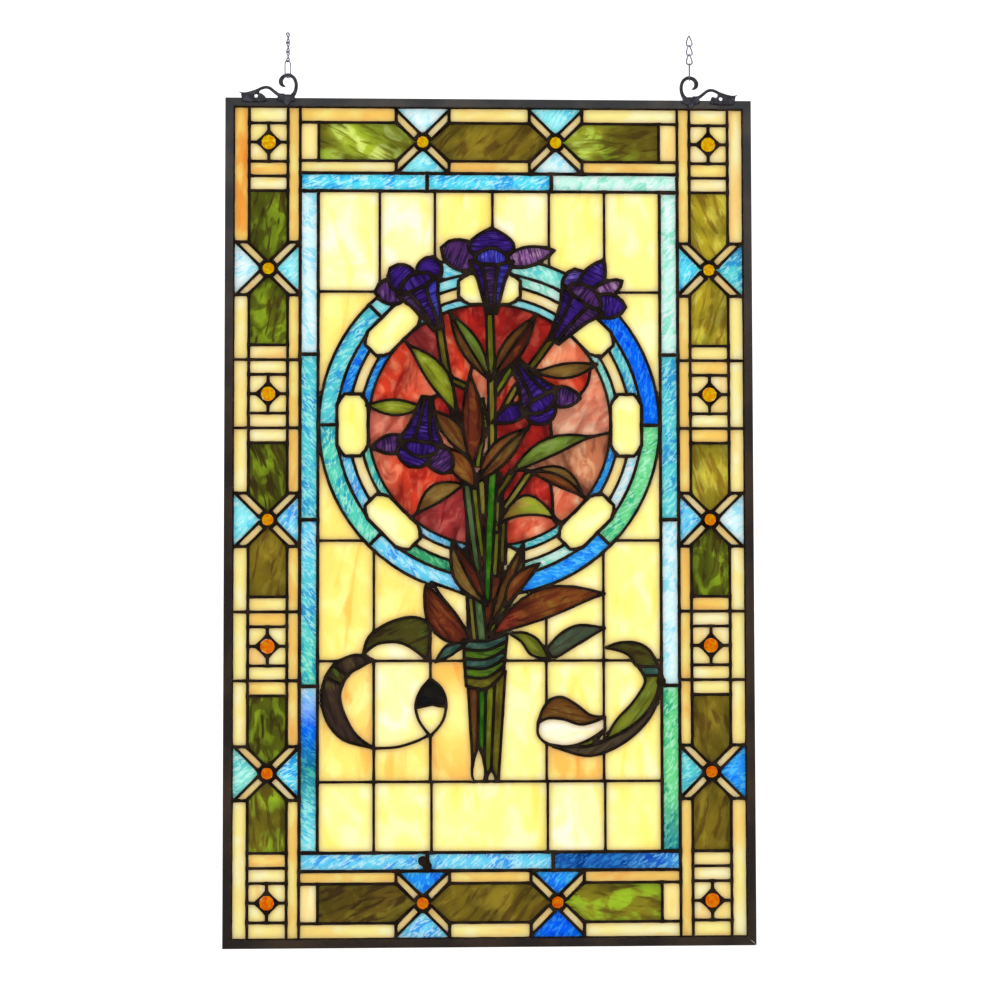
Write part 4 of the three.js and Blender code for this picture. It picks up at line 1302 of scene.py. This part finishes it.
def glass(name):
    """Streaky art glass, lit from behind: the pane's three tints mixed in streaks, clouds and a rim of
    painted shade and flux stain along the solder.
    """
    (length, width), veined, cloud, lit, swirl, grain, rim_shade_and_stain = GLASS_LOOKS[name]
    n = Nodes("glass_" + name)
    flow = n.add("ShaderNodeUVMap", uv_map="flow").outputs["UV"]
    body, streak, light = (
        n.add("ShaderNodeAttribute", attribute_name=f"tint_{part}").outputs["Color"]
        for part in ("body", "streak", "light")
    )
    middle = n.add("ShaderNodeAttribute", attribute_name="middle").outputs["Fac"]

    def stretched(across, down):
        scale = (100 / across, 100 / down, 1)
        return n.add("ShaderNodeMapping", {"Vector": flow, "Scale": scale}).outputs["Vector"]

    veins = n.spread(n.noise(stretched(length, width), 1.0, 4.0, 0.8), *veined)
    clouds = n.noise(stretched(cloud, cloud * 0.7), 1.0, 3.0, 1.0)
    colour = n.mix(n.spread(clouds, *lit), body, light)
    colour = n.mix(veins, colour, streak)
    # The rim along the solder: painted shade with some flux stain, peach on the cream glass and the streak
    # tint on the rest.
    rim = face_colour(CREAM_RIM_SHADE_AND_STAIN) if name == "cream" else streak
    colour = n.mix(n.spread(middle, 0.0, 1.0, rim_shade_and_stain, 0.0), colour, rim)
    shade = n.spread(n.noise(stretched(cloud * 1.6, cloud), 1.0, 2.0, 0.5), 0.35, 0.6, 1 - swirl, 1.0)
    colour = n.mix(1.0, colour, n.grey(shade), "MULTIPLY")
    ripples = n.noise(stretched(*FINE_RIPPLES), 1.0, 2.0, 0.4)
    colour = n.mix(1.0, colour, n.grey(n.spread(ripples, 0.3, 0.7, 1 - grain, 1.0)), "MULTIPLY")
    normal = n.bump(ripples, 0.0004)
    inputs = {"Base Color": colour, "Roughness": 0.14, "Specular IOR Level": 0.14, "Normal": normal}
    surface = n.shader("Principled", inputs)
    through = n.shader("Translucent", {"Color": colour, "Normal": normal})
    return n.output(n.both(LIGHT_THROUGH, surface, through))


def solder_material():
    """Black patina over tinned solder, with a faint brown bloom and a hammered unevenness."""
    n = Nodes("solder_patina")
    point = n.point()
    black, brown = (0.010, 0.006, 0.004, 1), (0.026, 0.016, 0.010, 1)
    return n.output(n.shader("Principled", {
        "Base Color": n.patches(point, 60.0, 3.0, (0.4, 0.7), black, brown),
        "Roughness": n.spread(n.noise(point, 160.0, 2.0), 0.35, 0.65, 0.38, 0.6),
        "Metallic": 0.85,
        "Specular IOR Level": 0.2,
        "Normal": n.bump(n.noise(point, 420.0, 3.0), 0.0003),
    }))


def frame_material():
    """Dark brown metal that goes to slate grey at the top, its roughness uneven and rubbed in places."""
    n = Nodes("frame_patina")
    point = n.point()
    reach = (0.4, 0.65)
    brown = n.patches(point, 14.0, 4.0, reach, (0.012, 0.008, 0.006, 1), (0.034, 0.020, 0.012, 1))
    slate = n.patches(point, 20.0, 4.0, reach, (0.03, 0.031, 0.033, 1), (0.055, 0.05, 0.046, 1))
    return n.output(n.shader("Principled", {
        "Base Color": n.mix(n.spread(n.height(point), -0.45, -0.06), brown, slate),
        "Roughness": n.spread(n.noise(point, 90.0, 3.0), 0.3, 0.7, 0.35, 0.55),
        "Metallic": 0.75,
        "Normal": n.bump(n.noise(point, 260.0, 3.0), 0.0002, 0.4),
    }))


def metal(name, dark, light, scale, metallic, roughness):
    """Cast or drawn metal with worn lighter places."""
    n = Nodes(name)
    point = n.point()
    return n.output(n.shader("Principled", {
        "Base Color": n.patches(point, scale, 4.0, (0.42, 0.66), dark, light),
        "Roughness": roughness,
        "Metallic": metallic,
        "Normal": n.bump(n.noise(point, scale * 3, 3.0), 0.0003),
    }))


def jewel_material():
    """Polished amber glass: a little clear, most of its light scattered inside, redder near the foot, with
    painted yellow highlights in spots.
    """
    n = Nodes("glass_jewel")
    point = n.point()
    # Painted highlights: bright yellow spots standing for light through the facets.
    painted_facet_highlights = n.spread(n.noise(point, 260.0, 2.0, 0.6), 0.4, 0.6)
    upper = n.mix(painted_facet_highlights, (1.0, 0.54, 0.002, 1), (1.0, 0.96, 0.05, 1))
    lower = n.mix(painted_facet_highlights, (1.0, 0.27, 0.001, 1), (1.0, 0.6, 0.01, 1))
    colour = n.mix(n.spread(n.height(point), -0.75, -0.15), lower, upper)
    clear = n.shader("Principled", {
        "Base Color": colour,
        "Roughness": 0.04,
        "Specular IOR Level": 0.25,
        "Transmission Weight": 1.0,
    })
    return n.output(n.both(0.95, clear, n.shader("Translucent", {"Color": colour})))


# ---- jewels, frame, hangers and chains ---------------------------------------------------------------


def jewel_stones():
    """Faceted stones: a girdle in the solder, a crown of facets with a table, and a flat back."""
    sides = 9
    # depth in millimetres, radius beside the girdle's, and turn in sides, from the table to the back
    levels = (
        (-6.5, 0.4, 0.5), (-5.6, 0.72, 0.0), (-3.6, 0.97, 0.5),
        (-1.6, 1.03, 0.5), (1.4, 1.03, 0.5), (2.5, 0.6, 0.0),
    )
    points, faces = [], []
    for (cx, cz), radius in jewels:
        start = len(points)
        spin = rng.uniform(0, math.tau)
        for depth, share, turn in levels:
            for k in range(sides):
                angle = spin + (k + turn) / sides * math.tau
                reach = radius * share * rng.uniform(0.97, 1.0)
                tilt = rng.uniform(-0.25, 0.25) if depth < -4 else 0.0
                points.append((cx + reach * math.cos(angle), depth + tilt, cz + reach * math.sin(angle)))
        points += [(cx, levels[0][0], cz), (cx, levels[-1][0] + 0.3, cz)]
        table, culet = len(points) - 2, len(points) - 1
        for row in range(len(levels) - 1):
            skew = levels[row + 1][2] - levels[row][2]
            for k in range(sides):
                a, b = start + row * sides + k, start + row * sides + (k + 1) % sides
                c, d = a + sides, b + sides
                if skew > 0:
                    faces += [(a, b, c), (b, d, c)]
                elif skew < 0:
                    faces += [(a, b, d), (a, d, c)]
                else:
                    faces.append((a, b, d, c))
        last = start + (len(levels) - 1) * sides
        for k in range(sides):
            faces.append((table, start + (k + 1) % sides, start + k))
            faces.append((culet, last + k, last + (k + 1) % sides))
    return new_object("jewel_stones", points, faces, 2.0)


def frame_channel():
    """The U-channel as four mitred rails, their lips and corners rounded."""
    depth, face, wall, lip = FRAME_DEPTH / 2, FRAME_FACE, 1.6, 1.3
    round_r, mitre_gap = 0.9, 0.12

    def corner(d, y, start, radius):
        turns = [math.radians(start + 30 * k) for k in range(4)]
        return [(d + radius * math.cos(t), y + radius * math.sin(t)) for t in turns]

    def lip_end(y):
        """The rounded end of a lip, y the middle of its thickness."""
        d = face - lip / 2
        return corner(d, y, 270, lip / 2) + corner(d, y, 0, lip / 2)

    profile = corner(round_r, round_r - depth, 180, round_r) + lip_end(lip / 2 - depth)
    profile += [(wall, lip - depth), (wall, depth - lip)]
    profile += lip_end(depth - lip / 2) + corner(round_r, depth - round_r, 90, round_r)
    count = len(profile)
    points, faces = [], []
    for rail in range(4):
        start = len(points)
        level = rail % 2 == 0
        sign = 1 if rail < 2 else -1
        for end in (-1, 1):
            for d, y in profile:
                if level:
                    x, z = end * (OUTER_W - d - mitre_gap), sign * (OUTER_H - d)
                else:
                    x, z = sign * (OUTER_W - d), end * (OUTER_H - d - mitre_gap)
                points.append((x, y, z))
        turn = level == (sign > 0)
        for k in range(count):
            a, b = start + k, start + (k + 1) % count
            quad = (a, b, b + count, a + count)
            faces.append(quad if turn else quad[::-1])
        ends = (tuple(start + k for k in range(count)), tuple(start + count + k for k in range(count)))
        faces.append(ends[0][::-1] if turn else ends[0])
        faces.append(ends[1] if turn else ends[1][::-1])
    return new_object("frame_channel", points, faces, 30.0)


def tube_faces(start, rings, sides, closed=False):
    """The faces of a tube: rings of points, each joined to the next, and if closed the last to the first."""
    faces = []
    for i in range(rings if closed else rings - 1):
        near, far = start + i * sides, start + (i + 1) % rings * sides
        for k in range(sides):
            after = (k + 1) % sides
            faces.append((near + k, far + k, far + after, near + after))
    return faces


def swept(path, widths, depth, points, faces, middle_y, sides=12):
    """A cast bar of oval section along a line of (x, z) points, with round ends."""
    start = len(points)
    count = len(path)
    for i, (x, z) in enumerate(path):
        before, after = path[max(i - 1, 0)], path[min(i + 1, count - 1)]
        way = Vector((after[0] - before[0], after[1] - before[1])).normalized()
        half = along(widths, i / (count - 1)) / 2
        for k in range(sides):
            angle = k / sides * math.tau
            out, y = half * math.cos(angle), depth / 2 * math.sin(angle)
            points.append((x - way.y * out, middle_y + y, z + way.x * out))
    faces += tube_faces(start, count, sides)
    faces.append(tuple(start + k for k in range(sides)))
    faces.append(tuple(start + (count - 1) * sides + k for k in reversed(range(sides))))


# The step between the points of a cast plate, and how far in from its edge it is rounded.
CAST_STEP = 0.8
CAST_ROUND = 1.7


def domed(outline, depth, points, faces, middle_y, hole=(), veins=None):
    """A cast plate with a flat back and a crowned front, its edge rounded over."""
    outline = wound(outline)
    hole = wound(list(hole))[::-1]
    loops = [list(zip(loop, loop[1:] + loop[:1])) for loop in (outline, hole) if loop]
    region = Region({"line": 1.0}, [edge for loop in loops for edge in loop])
    low, high = region.starts.min(0), region.starts.max(0)
    xs, zs = (np.arange(low[axis], high[axis], CAST_STEP) for axis in (0, 1))
    inner = points_inside(region, xs, zs, 0.3)
    near, tris = triangles_in(region, stepped_border(region, CAST_STEP), inner)
    away = region.distance(near)
    start, count = len(points), len(near)
    for (x, z), d in zip(near, away):
        rise = math.sqrt(max(0.0, 1 - (1 - min(d / CAST_ROUND, 1)) ** 2))
        groove = veins(x, z) if veins else 0.0
        points.append((x, middle_y + depth / 2 - depth * (0.3 + 0.7 * rise) + groove * rise, z))
    for x, z in near:
        points.append((x, middle_y + depth / 2, z))
    faces += slab_faces(tris, start, count)


def hanger(side, name):
    """A cast hanger: a C-scroll over a foot, and an arm that runs out into a veined, pierced leaf."""
    points, faces = [], []
    top = OUTER_H

    def put(outline):
        return [(HANGER_X + u, top + v) for u, v in outline]

    scroll = [
        (-4.5, 1.5), (-6.6, 4.5), (-7.9, 9), (-7.9, 14), (-6, 18.6), (-2.6, 21.1),
        (0.6, 21.5), (4.2, 20), (6.4, 17), (6.5, 13.8), (4.9, 11.5), (2.2, 10.3),
    ]
    scroll_widths = [4.6, 3.8, 3.4, 3.3, 3.3, 3.5, 3.6, 3.8, 4.2, 4.2, 3.0, 0.8]
    swept(spline(put(scroll), 5), scroll_widths, HANGER_T, points, faces, HANGER_Y)
    arm = [
        (3, 2.0), (8.5, 2.4), (12.5, 5.0), (17, 8.6), (21.2, 9.6), (25, 8.6),
        (29, 6.6), (33, 5.2), (38, 3.9), (42, 3.6), (46.6, 4.8),
    ]
    arm_widths = [3.4, 3.4, 3.1, 3.0, 3.0, 3.0, 3.0, 3.0, 2.6, 2.0, 0.5]
    swept(spline(put(arm), 5), arm_widths, HANGER_T, points, faces, HANGER_Y)
    foot = [
        (-7.4, -2.6), (-7, 0), (-5.6, 2), (-2, 3), (4, 3), (8.6, 3.2), (9.8, 0.6),
        (10.2, -2.6), (5.5, -4.4), (2.6, -7.2), (0.6, -9), (-1.4, -7.4), (-3, -4.4),
    ]
    domed(put(spline(foot, 3, closed=True)), HANGER_T, points, faces, HANGER_Y)

    def veins(x, z):
        u, v = x - HANGER_X, z - top
        return 0.3 * max(0.0, math.sin(1.8 * (u - 1.1 * abs(v - 0.5)))) ** 2

    lobe = [(22, 1.2), (25, 3.6)]
    if side > 0:
        lobe = [(20.6, 0.6), (21.4, 2.6), (23, 3.3), (24.8, 2.7), (26.2, 2.8)]
    foliage = [(20.2, -3.2)] + lobe + [
        (27.4, 4.6), (27.2, 6.6), (30, 6.8), (34, 5.4), (38, 4.2), (42, 3.8),
        (44.8, 3.4), (44.4, 0.6), (43.6, -3.4), (38, -4.6), (28, -4.4),
    ]
    hole = circle((HANGER_X + 30.4, top + 1.3), 1.7, 12)
    domed(put(spline(foliage, 3, closed=True)), HANGER_T, points, faces, HANGER_Y, hole, veins)
    if side < 0:
        points = [(-x, y, z) for x, y, z in points]
        faces = [face[::-1] for face in faces]
    return new_object(name, points, faces, 45.0)


def link(centre, length, width, wire, turn, twist, points, faces):
    """A chain link: a round wire bent into a ring, drawn out along z and twisted end from end."""
    rings, sides = 32, 10
    radius = (width - wire) / 2
    start = len(points)
    for i in range(rings):
        along_ring = i / rings * math.tau
        rise = math.sin(along_ring)
        stretch = math.copysign((length - width) / 2, rise) * min(1, abs(rise) * 3)
        for k in range(sides):
            round_wire = k / sides * math.tau
            reach = radius + wire / 2 * math.cos(round_wire)
            out = reach * math.cos(along_ring)
            up = reach * rise + stretch
            off = wire / 2 * math.sin(round_wire)
            way = turn + twist * up / (length / 2)
            c, s = math.cos(way), math.sin(way)
            points.append((centre[0] + out * c - off * s, centre[1] + out * s + off * c, centre[2] + up))
    faces += tube_faces(start, rings, sides, closed=True)


# Length, width and wire of the long link through the scroll, and of the twisted links above it.
HOOK = (17.5, 8.8, 1.1)
LINK = (11.3, 7.5, 1.3)
# How high over the frame the long link starts, and how far each link presses into the next.
HOOK_FOOT = 18.5
LINK_PRESS = 0.3
LINK_PITCH = LINK[0] - 2 * LINK[2] + LINK_PRESS
LINKS = 3
TWIST = math.radians(45)


def chain(side, turn, name):
    """The long link through the scroll, and the lowest links of the twisted chain."""
    points, faces = [], []
    x = side * HANGER_X
    foot = OUTER_H + HOOK_FOOT
    link((x, HANGER_Y, foot + HOOK[0] / 2), *HOOK, turn, 0.0, points, faces)
    low = foot + HOOK[0] - HOOK[2] - LINK[2] + LINK_PRESS
    twist = side * TWIST
    for i in range(LINKS):
        middle = low + i * LINK_PITCH + LINK[0] / 2
        link((x, HANGER_Y, middle), *LINK, turn - math.pi / 2 + twist, twist, points, faces)
    return new_object(name, points, faces, 60.0)


# ---- putting it together -----------------------------------------------------------------------------


def nodes_named(prefix):
    """The solids whose names start with the prefix."""
    return sorted(name for name in frame["nodes"] if name.startswith(prefix))


lay_everything()
all_regions = visible_regions()
joints = find_joints(all_regions)
for region in all_regions:
    if region.pane["group"] == "medallion":
        region.pane = dict(region.pane, tint=nearest_tint(region), flow=rng.uniform(40, 140))

finish_piece(solder_network(all_regions), solder_material(), ["solder_lattice"])

looks = {name: glass(name) for name in GLASS_LOOKS}
for group, name, look, nodes in (
    ("border", "border_panes", "cream", ["border_glass"]),
    ("green", "green_panes", "green", nodes_named("green_")),
    ("blue", "blue_panes", "ripple", ["blue_border"]),
    ("field", "field_panes", "cream", ["field"]),
    ("ring", "ring_panes", "ripple", nodes_named("ring_")),
    ("ring_cream", "ring_inlay_panes", "cream", []),
    ("medallion", "medallion_panes", "red", nodes_named("medallion_")),
    ("bouquet", "bouquet_panes", "leaf", ["bouquet"]),
    ("flower", "flower_panes", "violet", nodes_named("flower_")),
    ("ribbon", "ribbon_panes", "ribbon", nodes_named("ribbon_")),
):
    chosen = [region for region in all_regions if region.pane["group"] == group]
    finish_piece(glass_mesh(name, chosen, group), looks[look], nodes)

finish_piece(jewel_stones(), jewel_material(), nodes_named("jewel_"))
finish_piece(frame_channel(), frame_material(), ["frame"])

cast = metal("hanger_cast", (0.018, 0.018, 0.022, 1), (0.045, 0.045, 0.06, 1), 180.0, 0.7, 0.42)
wire = metal("chain_wire", (0.09, 0.09, 0.13, 1), (0.22, 0.22, 0.33, 1), 120.0, 0.9, 0.36)
for side, word, turn in ((-1, "left", math.radians(48)), (1, "right", math.radians(80))):
    finish_piece(hanger(side, f"hanger_{word}_cast"), cast, [f"hanger_{word}"])
    finish_piece(chain(side, turn, f"chain_{word}_links"), wire, [f"chain_{word}"])


# ---- stage, light and camera -------------------------------------------------------------------------

LIGHT_STRENGTH = 1.25


def pale_floor():
    """A wide, nearly white floor below the hanging panel."""
    below, size = 0.16, 12.0
    height = cad_box[0][2] - below
    mesh = bpy.data.meshes.new("floor")
    corners = [(x, z, height) for x, z in rect(-size, -size, size, size)]
    mesh.from_pydata(corners, [], [(0, 1, 2, 3)])
    floor = bpy.data.objects.new("floor", mesh)
    bpy.context.scene.collection.objects.link(floor)
    n = Nodes("floor_pale")
    inputs = {"Base Color": (0.96, 0.96, 0.96, 1), "Roughness": 0.9, "Specular IOR Level": 0.0}
    mesh.materials.append(n.output(n.shader("Principled", inputs)))


def studio_light():
    """White light from all round, as on a light table."""
    surround = bpy.data.worlds.new("studio")
    surround.use_nodes = True
    background = surround.node_tree.nodes["Background"]
    background.inputs["Color"].default_value = (1, 1, 1, 1)
    background.inputs["Strength"].default_value = LIGHT_STRENGTH
    bpy.context.scene.world = surround


def photo_camera():
    """The photograph's view: nearly square on, a little from the left and below the middle."""
    data = bpy.data.cameras.new("camera")
    data.lens = 85.0
    data.sensor_width = 36.0
    camera = bpy.data.objects.new("camera", data)
    camera.location = CENTRE + Vector((-0.080, -2.263, -0.089))
    camera.rotation_euler = [math.radians(angle) for angle in (92.73, 0.10, -2.27)]
    bpy.context.scene.collection.objects.link(camera)
    bpy.context.scene.camera = camera


pale_floor()
studio_light()
photo_camera()
bpy.context.scene.view_settings.view_transform = "Standard"
